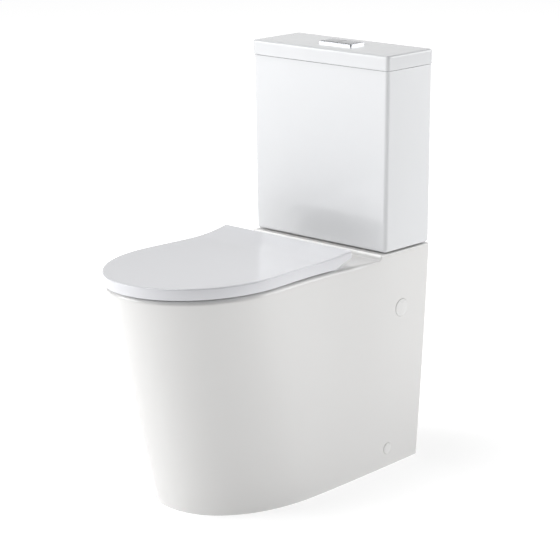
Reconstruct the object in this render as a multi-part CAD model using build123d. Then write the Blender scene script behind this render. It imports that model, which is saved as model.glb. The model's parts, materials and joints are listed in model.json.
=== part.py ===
from build123d import *
import os
from math import asin, atan2, cos, degrees, radians, sin

# A close coupled toilet that stands with its back to the wall: a skirted pan, a cistern on the
# pan's platform, a dual flush button in the cistern lid and a slim wrap-over seat.
# Millimetres. X runs left to right, Y towards the wall and Z up from the floor. The origin is on
# the floor, in the middle of the overall width and depth.

# Overall sizes
OVERALL_HEIGHT = 855.6
OVERALL_DEPTH = 676.0
CISTERN_WIDTH = 357.4
RIM_HEIGHT = 448.0

# Pan skirt: half widths at the floor and at the rim, from the wall to the nose
PAN_WALL = 14.0
BASE_BACK_HALF = 146.0
BASE_SHOULDER_HALF = 152.0
BASE_WAIST_HALF = 156.0
BASE_NOSE_HALF = 158.0
RIM_WAIST_HALF = 166.5
RIM_NOSE_HALF = 171.5
SIDE_BULGE = 1.7
FRONT_RAKE = 110.0
BASE_NOSE_LENGTH = 232.0
BASE_NOSE_POWER = 2.2
BASE_SHOULDER = 130.0
RIM_ROUNDING = 8.0
DECK_THICKNESS = 18.0

# Cistern platform at the back of the pan
PLATFORM_RISE = 9.0
PLATFORM_FRONT = 146.0
STEP_RADIUS = 12.0

# Bowl, trap and waste outlet
RIM_FRONT_WIDTH = 48.0
RIM_BACK_WIDTH = 50.0
BOWL_HALF_WIDTH = 126.0
BOWL_WALL = 11.0
SUMP_HEIGHT = 150.0
SUMP_SHIFT = 0.38
TRAP_RADIUS = 36.0
TRAP_WALL = 10.0
TRAP_BEND = 50.0
TRAP_ENTRY = 98.0
TRAP_CLIMB = 42.0
TRAP_CREST = 72.0
TRAP_FALL = 52.0
TRAP_LOW = 188.0
TRAP_HIGH = 306.0
OUTLET_HEIGHT = 185.0
OUTLET_RADIUS = 51.0
OUTLET_LENGTH = 90.0
OUTLET_FROM_WALL = 14.0

# Flush water way from the cistern to the bowl
RECESS_DEPTH = 32.0
BOSS_WALL = 12.0
DUCT_RADIUS = 22.0
DUCT_WALL = 9.0
DUCT_DROP = 48.0

# Cistern
CISTERN_DEPTH = 138.0
CISTERN_TAPER = 4.1
CISTERN_GAP = 2.0
CISTERN_WALL = 9.0
CISTERN_FLOOR = 12.0
CISTERN_CORNER = 8.0
LID_HEIGHT = 30.6
LID_OVERHANG = 1.8
LID_FRONT_OVERHANG = 2.0
LID_WALL = 12.0
LID_ROUNDING = 5.0
WALL_HOLE_SPACING = 150.0
WALL_HOLE_RADIUS = 4.5
WALL_HOLE_DROP = 60.0

# Flush buttons
BEZEL_LENGTH = 86.0
BEZEL_WIDTH = 43.0
BEZEL_HEIGHT = 4.6
BEZEL_LEDGE = 2.5
NECK_WALL = 1.5
NECK_DEPTH = 24.0
BUTTON_RISE = 5.6
BUTTON_GAP = 0.3
BUTTON_SKIRT = 10.0
BUTTON_TRAVEL = 6.0
STEM_OFFSET = 12.0
STEM_RADIUS = 3.5
ROD_RADIUS = 3.0
SPRING_WIRE = 0.6
SPRING_PITCH = 3.4

# Seat: a ring under a wrap-over lid that rises at the back over its hinges
SEAT_BACK = 233.0
SEAT_BACK_HALF = 171.0
SEAT_WAIST_HALF = 167.5
SEAT_NOSE_HALF = 174.5
SEAT_NOSE_LENGTH = 206.0
SEAT_TOP = 25.8
SEAT_SIDE = 21.5
SEAT_RISE = 8.9
SEAT_RISE_LENGTH = 100.0
SEAT_END_HEIGHT = 14.0
SEAT_END_LENGTH = 45.0
SEAT_SKIN = 4.0
SEAT_SKIRT = 4.5
RING_CLEARANCE = 1.6
RING_UNDER = 3.5
RING_THICKNESS = 15.0
RING_WIDTH = 62.0
RING_EDGE = 4.0
RING_BACK = 262.0
RIM_INSET = 4.0
BUMPER_RADIUS = 7.0

# Seat hinges
HINGE_FROM_WALL = 246.0
HINGE_HEIGHT = 18.0
HINGE_SPACING = 155.0
POST_WIDTH = 12.0
POST_RADIUS = 8.5
POST_DEPTH = 12.0
LUG_RADIUS = 9.0
LUG_WIDTH = 19.0
LUG_GAP = 1.5
DAMPER_RADIUS = 6.5
PIN_RADIUS = 4.0
RUNNING_CLEARANCE = 0.05
FOOT_RADIUS = 20.0
FOOT_THICKNESS = 1.5

# Fixings through the pan
BOLT_RADIUS = 4.0
BOLT_HOLE_CLEARANCE = 1.5
NUT_RADIUS = 8.0
NUT_THICKNESS = 9.0
WASHER_THICKNESS = 2.0
SEAT_BOLT_LENGTH = 52.0
COUPLING_SPACING = 170.0
WING_SPAN = 32.0

# Flush valve
VALVE_FLANGE_WIDTH = 14.0
VALVE_TAIL_RADIUS = 30.0
VALVE_TAIL_LENGTH = 38.0
VALVE_TAIL_WALL = 4.5
VALVE_NUT_WALL = 8.0
GASKET_WALL = 11.0
GASKET_CLEARANCE = 1.0
VALVE_NUT_HEIGHT = 15.0
SEAT_LIP_HEIGHT = 8.0
CAGE_STEP = 3.0
CAGE_WALL = 3.0
CAGE_BOTTOM = 42.0
CAGE_TOP = 178.0
TUBE_RADIUS = 18.0
TUBE_WALL = 2.5
TUBE_TOP = 130.0
VALVE_LIFT = 20.0
PLUNGER_RADIUS = 4.5
PLUNGER_TOP = 196.0
PLUNGER_LENGTH = 34.0
PLUNGER_CLEARANCE = 0.4
ROD_GAP = 0.5

# Fill valve
INLET_OFFSET = 120.0
INLET_RADIUS = 10.48
INLET_THREAD_LENGTH = 23.0
INLET_SHANK_RADIUS = 10.0
INLET_LENGTH = 46.0
INLET_NUT_RADIUS = 15.0
INLET_NUT_THICKNESS = 8.0
FILL_COLUMN_RADIUS = 12.0
FILL_HEAD_HEIGHT = 229.0
FLOAT_RADIUS = 24.0
FLOAT_HEIGHT = 52.0
FLOAT_TRAVEL = 30.0
FLOAT_CLEARANCE = 0.4

# Side caps and floor brackets
UPPER_CAP_RADIUS = 18.0
UPPER_CAP_FROM_WALL = 82.0
UPPER_CAP_HEIGHT = 337.5
UPPER_HOLE_RADIUS = 14.0
LOWER_CAP_RADIUS = 11.5
LOWER_CAP_FROM_WALL = 104.0
LOWER_CAP_HEIGHT = 41.0
LOWER_HOLE_RADIUS = 7.0
CAP_THICKNESS = 2.4
CAP_PROUD = 0.8
CAP_CLEARANCE = 0.4
CAP_STEM = 3.0
SIDE_SCREW_RADIUS = 2.5
SIDE_SCREW_LENGTH = 22.0
BRACKET_LENGTH = 44.0
BRACKET_WIDTH = 34.0
BRACKET_HEIGHT = 56.0
BRACKET_WALL = 5.0
BRACKET_HOLE_RADIUS = 4.0

# Worked out from the sizes above
RIM_TIP = OVERALL_DEPTH - RIM_INSET
RIM_NOSE_LENGTH = SEAT_NOSE_LENGTH - RIM_INSET
PLATFORM_HEIGHT = RIM_HEIGHT + PLATFORM_RISE
CISTERN_BASE = PLATFORM_HEIGHT + CISTERN_GAP
CISTERN_TOP = OVERALL_HEIGHT - BUTTON_RISE - LID_HEIGHT
LID_TOP = OVERALL_HEIGHT - BUTTON_RISE
CISTERN_MIDDLE = CISTERN_DEPTH / 2
TANK_FLOOR = CISTERN_BASE + CISTERN_FLOOR
VALVE_FLANGE_RADIUS = VALVE_TAIL_RADIUS + VALVE_FLANGE_WIDTH
VALVE_BORE_RADIUS = VALVE_TAIL_RADIUS - VALVE_TAIL_WALL
VALVE_NUT_RADIUS = VALVE_TAIL_RADIUS + VALVE_NUT_WALL
RECESS_RADIUS = VALVE_NUT_RADIUS + GASKET_WALL + GASKET_CLEARANCE
CAGE_RADIUS = VALVE_TAIL_RADIUS + CAGE_STEP
DUCT_HEIGHT = RIM_HEIGHT - DUCT_DROP
DECK_UNDERSIDE = RIM_HEIGHT - DECK_THICKNESS
SIDES = (-1, 1)


def from_wall(distance):
    """Y of a point that is this far in front of the wall."""
    return OVERALL_DEPTH / 2 - distance


def rod_x(radius, start, end, distance, height):
    """Round bar along X."""
    bar = Rot(0, 90, 0) * Cylinder(radius, abs(end - start))
    return Pos((start + end) / 2, from_wall(distance), height) * bar


def rod_y(radius, near, far, height, x=0.0):
    """Round bar along Y, between two distances from the wall."""
    bar = Rot(90, 0, 0) * Cylinder(radius, abs(far - near))
    return Pos(x, from_wall((near + far) / 2), height) * bar


def rod_z(radius, bottom, top, x=0.0, distance=CISTERN_MIDDLE):
    """Upright round bar."""
    return Pos(x, from_wall(distance), (bottom + top) / 2) * Cylinder(radius, top - bottom)


def block(x_low, x_high, near, far, bottom, top):
    """Box between two X values, two distances from the wall and two heights."""
    centre = Pos((x_low + x_high) / 2, from_wall((near + far) / 2), (bottom + top) / 2)
    return centre * Box(x_high - x_low, far - near, top - bottom)


def group(pieces):
    """Several separate solids in one node."""
    return Compound(children=[solid for piece in pieces for solid in piece.solids()])


def mirrored(make):
    """The same piece on the left and on the right."""
    return group([make(side) for side in SIDES])


def side_profile(points_high):
    """Sheet in the YZ plane from (distance, height) points, cut across the whole width."""
    points = [(0, from_wall(distance), height) for distance, height in points_high]
    sheet = make_face(Polyline(*points, close=True))
    return extrude(sheet, CISTERN_WIDTH, dir=(1, 0, 0), both=True)


# ---------------------------------------------------------------- outlines

def d_outline(sides, nose_half, nose_start, tip, power, height):
    """Flat D: straight at the back, side points, and a rounded nose."""
    right = [(half, from_wall(distance)) for distance, half in sides]
    for angle in (0, 18, 36, 54, 72):
        across = cos(radians(angle)) ** (2 / power)
        along = sin(radians(angle)) ** (2 / power)
        right.append((nose_half * across, from_wall(nose_start + (tip - nose_start) * along)))
    left = [(-x, y) for x, y in reversed(right)]
    points = [(x, y, height) for x, y in right + [(0, from_wall(tip))] + left]
    return make_face(Curve() + [Spline(*points), Line(points[-1], points[0])])


def skirt_half_width(distance, height):
    """Half width of the skirt's flat rear sides."""
    t = height / RIM_HEIGHT
    bulge = SIDE_BULGE * 4 * t * (1 - t)
    floor = BASE_BACK_HALF + (BASE_SHOULDER_HALF - BASE_BACK_HALF) * distance / BASE_SHOULDER
    rim = CISTERN_WIDTH / 2 - CISTERN_TAPER
    return floor + (rim - floor) * t + bulge


def skirt_outline(height, inset=0.0, back=0.0):
    """The pan's outline at a height, or the same outline moved inwards."""
    t = height / RIM_HEIGHT
    bulge = SIDE_BULGE * 4 * t * (1 - t)

    def between(low, high):
        return low + (high - low) * t

    rim_half = CISTERN_WIDTH / 2 - CISTERN_TAPER
    tip = between(RIM_TIP - FRONT_RAKE, RIM_TIP) - inset
    nose_length = between(BASE_NOSE_LENGTH, RIM_NOSE_LENGTH) - inset
    nose_start = tip - nose_length
    shoulder = between(BASE_SHOULDER, PLATFORM_FRONT)
    waist = (shoulder + nose_start) / 2
    sides = [
        (back, between(BASE_BACK_HALF, rim_half) + bulge - inset),
        (shoulder, between(BASE_SHOULDER_HALF, rim_half) + bulge - inset),
        (waist, between(BASE_WAIST_HALF, RIM_WAIST_HALF) + bulge - inset),
    ]
    nose_half = between(BASE_NOSE_HALF, RIM_NOSE_HALF) - inset
    return d_outline(sides, nose_half, nose_start, tip, between(BASE_NOSE_POWER, 2.0), height)


def seat_outline(height, inset=0.0, back=SEAT_BACK):
    """The closed seat's outline, or the same outline moved inwards."""
    nose_start = OVERALL_DEPTH - SEAT_NOSE_LENGTH
    sides = [
        (back, SEAT_BACK_HALF - inset),
        ((back + nose_start) / 2, SEAT_WAIST_HALF - inset),
    ]
    return d_outline(sides, SEAT_NOSE_HALF - inset, nose_start, OVERALL_DEPTH - inset, 2.0, height)


def oval(height, centre, half_width, half_length):
    """Flat ellipse centred this far from the wall."""
    return Pos(0, from_wall(centre), height) * Ellipse(half_width, half_length).faces()[0]


# ---------------------------------------------------------------- pan

def bowl_ends():
    """Front and back of the bowl's opening, as distances from the wall."""
    return RIM_TIP - RIM_FRONT_WIDTH, HINGE_FROM_WALL + RIM_BACK_WIDTH


def bowl_solid(grow, top):
    """The bowl's hollow, or its outside when grown by the wall."""
    front, back = bowl_ends()
    middle = (front + back) / 2
    length = (front - back) / 2
    depth = RIM_HEIGHT - SUMP_HEIGHT
    shape = [
        (0.00, 1.00, 1.00, 0.00),
        (0.15, 0.98, 0.97, 0.01),
        (0.40, 0.83, 0.84, 0.06),
        (0.63, 0.62, 0.64, 0.19),
        (0.82, 0.44, 0.44, 0.32),
        (1.00, 0.32, 0.27, SUMP_SHIFT),
    ]
    sections = []
    for fall, width, long, shift in shape:
        height = RIM_HEIGHT - depth * fall
        if fall == 0:
            height = top
        if fall == 1:
            height -= grow
        centre = middle - length * shift
        half = BOWL_HALF_WIDTH * width + grow
        sections.append(oval(height, centre, half, length * long + grow))
    return loft(sections)


def trap_path():
    """Centre line of the water trap, from the sump to the waste outlet."""
    front, back = bowl_ends()
    sump = (front + back) / 2 - (front - back) / 2 * SUMP_SHIFT
    weir_front = sump - TRAP_ENTRY - TRAP_CLIMB
    weir_back = weir_front - TRAP_CREST
    fall = weir_back - TRAP_FALL
    points = [
        (sump, TRAP_LOW),
        (sump - TRAP_ENTRY, TRAP_LOW),
        (weir_front, TRAP_HIGH),
        (weir_back, TRAP_HIGH),
        (fall, OUTLET_HEIGHT),
        (OUTLET_FROM_WALL, OUTLET_HEIGHT),
    ]
    return FilletPolyline(*[(0, from_wall(d), z) for d, z in points], radius=TRAP_BEND)


def trap_tube(radius):
    path = trap_path()
    section = Plane(origin=path @ 0, z_dir=path % 0) * Circle(radius)
    return sweep(section, path=path)


def platform_profile():
    """Side view of the cistern platform, with its concave foot, cut across the whole width."""
    foot = PLATFORM_FRONT + STEP_RADIUS

    def on_step(angle):
        distance = foot - STEP_RADIUS * cos(radians(angle))
        return (0, from_wall(distance), RIM_HEIGHT + STEP_RADIUS * (1 - sin(radians(angle))))

    top = degrees(asin((STEP_RADIUS - PLATFORM_RISE) / STEP_RADIUS))
    arc = ThreePointArc(on_step(90), on_step((90 + top) / 2), on_step(top))
    corners = [
        on_step(top),
        (0, from_wall(0), PLATFORM_HEIGHT),
        (0, from_wall(0), DECK_UNDERSIDE),
        (0, from_wall(foot), DECK_UNDERSIDE),
        on_step(90),
    ]
    sheet = make_face(Curve() + [arc, Polyline(*corners)])
    return extrude(sheet, CISTERN_WIDTH, dir=(1, 0, 0), both=True)


def skirt_body():
    """Outer form of the pan: raked skirt, flat deck with a rounded rim, and platform."""
    levels = [RIM_HEIGHT * share for share in (0, 0.2, 0.4, 0.6, 0.8)]
    whole = loft([skirt_outline(z) for z in levels + [PLATFORM_HEIGHT]])
    deck = whole - block(-400, 400, -50, OVERALL_DEPTH + 50, RIM_HEIGHT, PLATFORM_HEIGHT + 50)
    top_face = deck.faces().sort_by(Axis.Z)[-1]
    deck = fillet(top_face.edges().filter_by(GeomType.LINE, reverse=True), RIM_ROUNDING)
    return deck + (platform_profile() & whole)


def water_way():
    """Boss and duct under the platform that lead the flush water to the bowl."""
    front, back = bowl_ends()
    boss_radius = RECESS_RADIUS + BOSS_WALL
    duct_outer = DUCT_RADIUS + DUCT_WALL
    boss = rod_z(boss_radius, DUCT_HEIGHT - duct_outer, DECK_UNDERSIDE + 1)
    return boss + rod_y(duct_outer, CISTERN_MIDDLE, back, DUCT_HEIGHT)


def water_way_hollow():
    front, back = bowl_ends()
    recess = rod_z(RECESS_RADIUS, PLATFORM_HEIGHT - RECESS_DEPTH, PLATFORM_HEIGHT + 1)
    drop = rod_z(VALVE_TAIL_RADIUS + 2, DUCT_HEIGHT - DUCT_RADIUS, PLATFORM_HEIGHT)
    return recess + drop + rod_y(DUCT_RADIUS, CISTERN_MIDDLE, back + BOWL_WALL, DUCT_HEIGHT)


def skirt_plane(side, distance, height):
    """Plane on the outside of the skirt, facing outwards."""
    lean = atan2(skirt_half_width(distance, height + 20) - skirt_half_width(distance, height - 20), 40)
    turn = atan2(skirt_half_width(distance + 20, height) - skirt_half_width(distance - 20, height), 40)
    half = skirt_half_width(distance, height)
    outwards = Vector(side * cos(lean) * cos(turn), sin(turn), -sin(lean))
    return Plane(origin=(side * half, from_wall(distance), height), z_dir=outwards)


def side_bar(side, distance, height, radius, inner, outer):
    """Round bar square to the skirt, between two depths measured outwards from its surface."""
    plane = skirt_plane(side, distance, height)
    return plane * Pos(0, 0, (inner + outer) / 2) * Cylinder(radius, outer - inner)


def side_holes(side):
    seat = CAP_PROUD - CAP_THICKNESS
    upper = (side, UPPER_CAP_FROM_WALL, UPPER_CAP_HEIGHT)
    lower = (side, LOWER_CAP_FROM_WALL, LOWER_CAP_HEIGHT)
    return [
        side_bar(*upper, UPPER_CAP_RADIUS + CAP_CLEARANCE, seat, 10),
        side_bar(*upper, UPPER_HOLE_RADIUS, -PAN_WALL * 2, 1),
        side_bar(*lower, LOWER_CAP_RADIUS + CAP_CLEARANCE, seat, 10),
        side_bar(*lower, LOWER_HOLE_RADIUS, -PAN_WALL * 0.6, 1),
        side_bar(*lower, SIDE_SCREW_RADIUS + 1, -PAN_WALL * 2, 1),
    ]


def pan():
    levels = [-1] + [RIM_HEIGHT * share for share in (0.2, 0.4, 0.6, 0.8)] + [DECK_UNDERSIDE]
    hollow = loft([skirt_outline(z, inset=PAN_WALL, back=-20) for z in levels])
    body = skirt_body() - hollow
    body += bowl_solid(BOWL_WALL, DECK_UNDERSIDE + 2)
    body += trap_tube(TRAP_RADIUS + TRAP_WALL)
    body += rod_y(OUTLET_RADIUS, OUTLET_FROM_WALL, OUTLET_FROM_WALL + OUTLET_LENGTH, OUTLET_HEIGHT)
    body += water_way()
    body -= bowl_solid(0, RIM_HEIGHT + 1)
    body -= trap_tube(TRAP_RADIUS)
    body -= water_way_hollow()
    bolt_hole = BOLT_RADIUS + BOLT_HOLE_CLEARANCE
    for side in SIDES:
        seat_x = side * HINGE_SPACING / 2
        body -= rod_z(bolt_hole, DECK_UNDERSIDE - 1, RIM_HEIGHT + 1, seat_x, HINGE_FROM_WALL)
        coupling_x = side * COUPLING_SPACING / 2
        body -= rod_z(bolt_hole, DECK_UNDERSIDE - 1, PLATFORM_HEIGHT + 1, coupling_x)
        inlet = INLET_NUT_RADIUS + 6
        body -= rod_z(inlet, DECK_UNDERSIDE - 1, PLATFORM_HEIGHT + 1, side * INLET_OFFSET)
        for hole in side_holes(side):
            body -= hole
    return body


def pan_pieces():
    """The pan is one casting, kept as five nodes that meet face to face."""
    whole = pan()
    above = block(-400, 400, -50, OVERALL_DEPTH + 50, DECK_UNDERSIDE, PLATFORM_HEIGHT + 50)
    below = (whole - above).solids().sort_by(lambda solid: solid.bounding_box().size.X)
    skirt, inside = below[-1], below[-2]
    bowl_form = bowl_solid(BOWL_WALL, DECK_UNDERSIDE + 2)
    channels = (inside - bowl_form).solids().sort_by(Axis.Z)
    return {
        "pan_skirt": skirt,
        "pan_deck": whole & above,
        "pan_bowl": inside & bowl_form,
        "pan_trap": channels[0],
        "pan_flush_way": channels[-1],
    }


# ---------------------------------------------------------------- cistern

def tank_form(inset, bottom, top):
    """Slightly tapered box with rounded upright corners."""
    spare = 1.0 if inset == 0 else 0.0
    sections = []
    for height in (bottom, top):
        t = (height - CISTERN_BASE) / (CISTERN_TOP - CISTERN_BASE)
        width = CISTERN_WIDTH - 2 * CISTERN_TAPER * (1 - t) - 2 * inset
        depth = CISTERN_DEPTH - 2 * inset + spare
        corner = max(CISTERN_CORNER - inset * 0.5, 3)
        place = Pos(0, from_wall(CISTERN_MIDDLE - spare / 2), height)
        sections.append(place * RectangleRounded(width, depth, corner).faces()[0])
    return loft(sections)


def cistern_tank():
    outside = tank_form(0, CISTERN_BASE, CISTERN_TOP)
    bottom_face = outside.faces().sort_by(Axis.Z)[0]
    outside = fillet(bottom_face.edges(), CISTERN_CORNER * 0.75)
    outside -= block(-400, 400, -50, 0, CISTERN_BASE - 1, CISTERN_TOP + 1)
    tank = outside - tank_form(CISTERN_WALL, TANK_FLOOR, CISTERN_TOP + 1)
    tank -= rod_z(VALVE_TAIL_RADIUS + 1, CISTERN_BASE - 1, TANK_FLOOR + 1)
    for side in SIDES:
        bolt_hole = BOLT_RADIUS + BOLT_HOLE_CLEARANCE
        tank -= rod_z(bolt_hole, CISTERN_BASE - 1, TANK_FLOOR + 1, side * COUPLING_SPACING / 2)
        tank -= rod_z(INLET_RADIUS + 1, CISTERN_BASE - 1, TANK_FLOOR + 1, side * INLET_OFFSET)
        wall_x = side * WALL_HOLE_SPACING / 2
        height = CISTERN_TOP - WALL_HOLE_DROP
        tank -= rod_y(WALL_HOLE_RADIUS, -1, CISTERN_WALL + 1, height, wall_x)
    return tank


def neck_size():
    """Outer length and width of the button housing's neck."""
    return BEZEL_LENGTH - 2 * BEZEL_LEDGE, BEZEL_WIDTH - 2 * BEZEL_LEDGE


def plate(length, width, bottom, top, corner):
    """Upright prism with rounded corners, centred on the cistern."""
    sheet = RectangleRounded(length, width, corner).faces()[0]
    return extrude(Pos(0, from_wall(CISTERN_MIDDLE), bottom) * sheet, top - bottom)


def cistern_lid():
    width = CISTERN_WIDTH + 2 * LID_OVERHANG
    depth = CISTERN_DEPTH + LID_FRONT_OVERHANG
    middle = from_wall(depth / 2)
    sheet = RectangleRounded(width, depth, CISTERN_CORNER).faces()[0]
    lid = extrude(Pos(0, middle, CISTERN_TOP) * sheet, LID_HEIGHT)
    lid = fillet(lid.faces().sort_by(Axis.Z)[-1].edges(), LID_ROUNDING)
    hollow = Box(width - 2 * LID_WALL, depth - 2 * LID_WALL, LID_HEIGHT - LID_WALL)
    lid -= Pos(0, middle, CISTERN_TOP + (LID_HEIGHT - LID_WALL) / 2) * hollow
    length, across = neck_size()
    return lid - plate(length + 1, across + 1, CISTERN_TOP, LID_TOP + 1, 3)


def button_bezel():
    length, across = neck_size()
    bezel = plate(BEZEL_LENGTH, BEZEL_WIDTH, LID_TOP, LID_TOP + BEZEL_HEIGHT, 2.5)
    bezel += plate(length, across, LID_TOP - NECK_DEPTH, LID_TOP, 2.5)
    floor = LID_TOP - NECK_DEPTH + 3
    inner = plate(length - 2 * NECK_WALL, across - 2 * NECK_WALL, floor, OVERALL_HEIGHT + 1, 0.5)
    bezel -= inner
    for side in SIDES:
        bezel -= rod_z(STEM_RADIUS + 0.4, floor - 4, floor + 1, side * STEM_OFFSET)
    return bezel


def button_clamp():
    """Frame that grips the neck under the lid."""
    length, across = neck_size()
    top = LID_TOP - LID_WALL
    clamp = plate(length + 12, across + 12, top - 4, top, 3)
    return clamp - plate(length + 0.2, across + 0.2, top - 5, top + 1, 2.6)


def button(side):
    """One half of the dual flush button, with its stem."""
    length, across = neck_size()
    inner_length = length - 2 * NECK_WALL
    inner_width = across - 2 * NECK_WALL
    half = inner_length / 2 - 1.5 * BUTTON_GAP
    middle = side * (BUTTON_GAP / 2 + half / 2)
    depth = inner_width - 2 * BUTTON_GAP
    near = CISTERN_MIDDLE - depth / 2
    x_low, x_high = middle - half / 2, middle + half / 2
    skin = 2.5
    top = OVERALL_HEIGHT
    cap = block(x_low, x_high, near, near + depth, top - BUTTON_SKIRT, top)
    cap = fillet(cap.faces().sort_by(Axis.Z)[-1].edges(), 0.8)
    under = top - BUTTON_SKIRT
    cap -= block(x_low + 2, x_high - 2, near + 2, near + depth - 2, under - 1, top - skin)
    bottom = LID_TOP - NECK_DEPTH - 4
    return cap + rod_z(STEM_RADIUS, bottom, top - skin, side * STEM_OFFSET)


def push_rod(side):
    bottom = TANK_FLOOR + PLUNGER_TOP + ROD_GAP
    top = LID_TOP - NECK_DEPTH - 4
    rod = rod_z(ROD_RADIUS, bottom, top, side * STEM_OFFSET)
    return rod + rod_z(PLUNGER_RADIUS, bottom, bottom + 3, side * STEM_OFFSET)


def button_spring(side):
    """Return spring round a button's stem."""
    bottom = LID_TOP - NECK_DEPTH + 3 + SPRING_WIRE
    top = OVERALL_HEIGHT - 2.5 - SPRING_WIRE
    path = Helix(SPRING_PITCH, top - bottom, STEM_RADIUS + 0.5 + SPRING_WIRE)
    section = Plane(origin=path @ 0, z_dir=path % 0) * Circle(SPRING_WIRE)
    coil = sweep(section, path=path, is_frenet=True)
    return Pos(side * STEM_OFFSET, from_wall(CISTERN_MIDDLE), bottom) * coil


# ---------------------------------------------------------------- seat

def seat_top_profile(drop, bottom_front, bottom_back, bottom_bend):
    """Side view of the seat lid between its risen top and its underside."""
    top = RIM_HEIGHT + SEAT_TOP - drop
    bend = SEAT_BACK + SEAT_RISE_LENGTH
    front = OVERALL_DEPTH + 10
    points = [(front, bottom_front), (front, top)]
    for share in (0.0, 0.25, 0.5, 0.75, 1.0):
        distance = bend - SEAT_RISE_LENGTH * share
        points.append((distance, top + SEAT_RISE * share ** 2))
    points += [(SEAT_BACK, bottom_back), (bottom_bend, bottom_front)]
    return side_profile(points)


def seat_lid():
    """Wrap-over lid: a thin skin with a skirt all round and two hinge lugs."""
    under = RIM_HEIGHT + SEAT_TOP - SEAT_SIDE
    end = RIM_HEIGHT + SEAT_TOP + SEAT_RISE - SEAT_END_HEIGHT
    profile = seat_top_profile(0, under, end, SEAT_BACK + SEAT_END_LENGTH)
    lid = extrude(seat_outline(RIM_HEIGHT), 60) & profile
    floor = RIM_HEIGHT - 10
    inner = extrude(seat_outline(floor, inset=SEAT_SKIRT, back=SEAT_BACK + 3), 90)
    lid -= inner & seat_top_profile(SEAT_SKIN, floor, floor, SEAT_BACK + SEAT_END_LENGTH)
    axis = RIM_HEIGHT + HINGE_HEIGHT
    post = HINGE_SPACING / 2
    inner_side = POST_WIDTH / 2 + LUG_GAP
    for side in SIDES:
        start = side * (post - inner_side - LUG_WIDTH)
        stop = side * (post - inner_side)
        low, high = min(start, stop), max(start, stop)
        lug = rod_x(LUG_RADIUS, low, high, HINGE_FROM_WALL, axis)
        near = HINGE_FROM_WALL - LUG_RADIUS
        web = block(low, high, near, near + 2 * LUG_RADIUS, axis, axis + 30)
        lid += (lug + web) & seat_top_profile(1, floor, floor, SEAT_BACK + 1)
        lid -= rod_x(DAMPER_RADIUS, low - 1, high + 1, HINGE_FROM_WALL, axis)
        notch = POST_WIDTH / 2 + 1
        middle = side * post
        top = RIM_HEIGHT + SEAT_TOP + SEAT_RISE - SEAT_SKIN
        lid -= block(middle - notch, middle + notch, SEAT_BACK - 1, SEAT_BACK + 4, axis - 10, top)
    return lid


def seat_ring():
    """Ring that the user sits on, with hinge lugs outside the posts."""
    bottom = RIM_HEIGHT + RING_UNDER
    inset = SEAT_SKIRT + RING_CLEARANCE
    ring = extrude(seat_outline(bottom, inset=inset), RING_THICKNESS)
    ring -= block(-400, 400, 0, RING_BACK, bottom - 1, bottom + RING_THICKNESS + 1)
    front = OVERALL_DEPTH - inset - RING_WIDTH
    back = RING_BACK + RING_WIDTH
    half = SEAT_NOSE_HALF - inset - RING_WIDTH
    hole = oval(bottom - 1, (front + back) / 2, half, (front - back) / 2)
    ring -= extrude(hole, RING_THICKNESS + 2)
    ring = fillet(ring.faces().sort_by(Axis.Z)[-1].edges(), RING_EDGE)
    axis = RIM_HEIGHT + HINGE_HEIGHT
    post = HINGE_SPACING / 2
    outer_side = POST_WIDTH / 2 + LUG_GAP
    for side in SIDES:
        start = side * (post + outer_side)
        stop = side * (post + outer_side + LUG_WIDTH)
        low, high = min(start, stop), max(start, stop)
        top = bottom + RING_THICKNESS
        web = block(low, high, HINGE_FROM_WALL + 3, RING_BACK + 8, axis - LUG_RADIUS, top)
        ring += rod_x(LUG_RADIUS, low, high, HINGE_FROM_WALL, axis) + web
        ring -= rod_x(DAMPER_RADIUS, low - 1, high + 1, HINGE_FROM_WALL, axis)
    return ring


def bumper_places():
    """Where the pads stand on the ring: two near the nose and two near the hinges."""
    nose_start = OVERALL_DEPTH - SEAT_NOSE_LENGTH
    middle = RING_CLEARANCE + SEAT_SKIRT + RING_WIDTH / 2
    front = nose_start + (SEAT_NOSE_LENGTH - middle) * sin(radians(50))
    x_front = (SEAT_NOSE_HALF - middle) * cos(radians(50))
    x_back = SEAT_WAIST_HALF - middle
    return [(x_front, front), (x_back, RING_BACK + RING_WIDTH)]


def bumpers(bottom, top):
    pads = []
    for x, distance in bumper_places():
        for side in SIDES:
            pads.append(rod_z(BUMPER_RADIUS, bottom, top, side * x, distance))
    return group(pads)


def hinge_post(side):
    axis = RIM_HEIGHT + HINGE_HEIGHT
    middle = side * HINGE_SPACING / 2
    low, high = middle - POST_WIDTH / 2, middle + POST_WIDTH / 2
    near = HINGE_FROM_WALL - POST_DEPTH / 2
    foot = RIM_HEIGHT + FOOT_THICKNESS
    post = block(low, high, near, near + POST_DEPTH, foot, axis)
    post += rod_x(POST_RADIUS, low, high, HINGE_FROM_WALL, axis)
    return post - rod_x(PIN_RADIUS, low - 1, high + 1, HINGE_FROM_WALL, axis)


def hinge_foot(side):
    middle = side * HINGE_SPACING / 2
    top = RIM_HEIGHT + FOOT_THICKNESS
    return rod_z(FOOT_RADIUS, RIM_HEIGHT, top, middle, HINGE_FROM_WALL)


def hinge_pin(side):
    axis = RIM_HEIGHT + HINGE_HEIGHT
    middle = side * HINGE_SPACING / 2
    reach = POST_WIDTH / 2 + LUG_GAP + LUG_WIDTH
    return rod_x(PIN_RADIUS, middle - reach, middle + reach, HINGE_FROM_WALL, axis)


def damper(side, outwards):
    """Soft-close sleeve inside a lug, running on the hinge pin."""
    axis = RIM_HEIGHT + HINGE_HEIGHT
    near = POST_WIDTH / 2 + LUG_GAP
    middle = side * HINGE_SPACING / 2
    start = middle + side * outwards * near
    stop = middle + side * outwards * (near + LUG_WIDTH)
    low, high = min(start, stop), max(start, stop)
    sleeve = rod_x(DAMPER_RADIUS, low, high, HINGE_FROM_WALL, axis)
    bore = PIN_RADIUS + RUNNING_CLEARANCE
    return sleeve - rod_x(bore, low - 1, high + 1, HINGE_FROM_WALL, axis)


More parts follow.
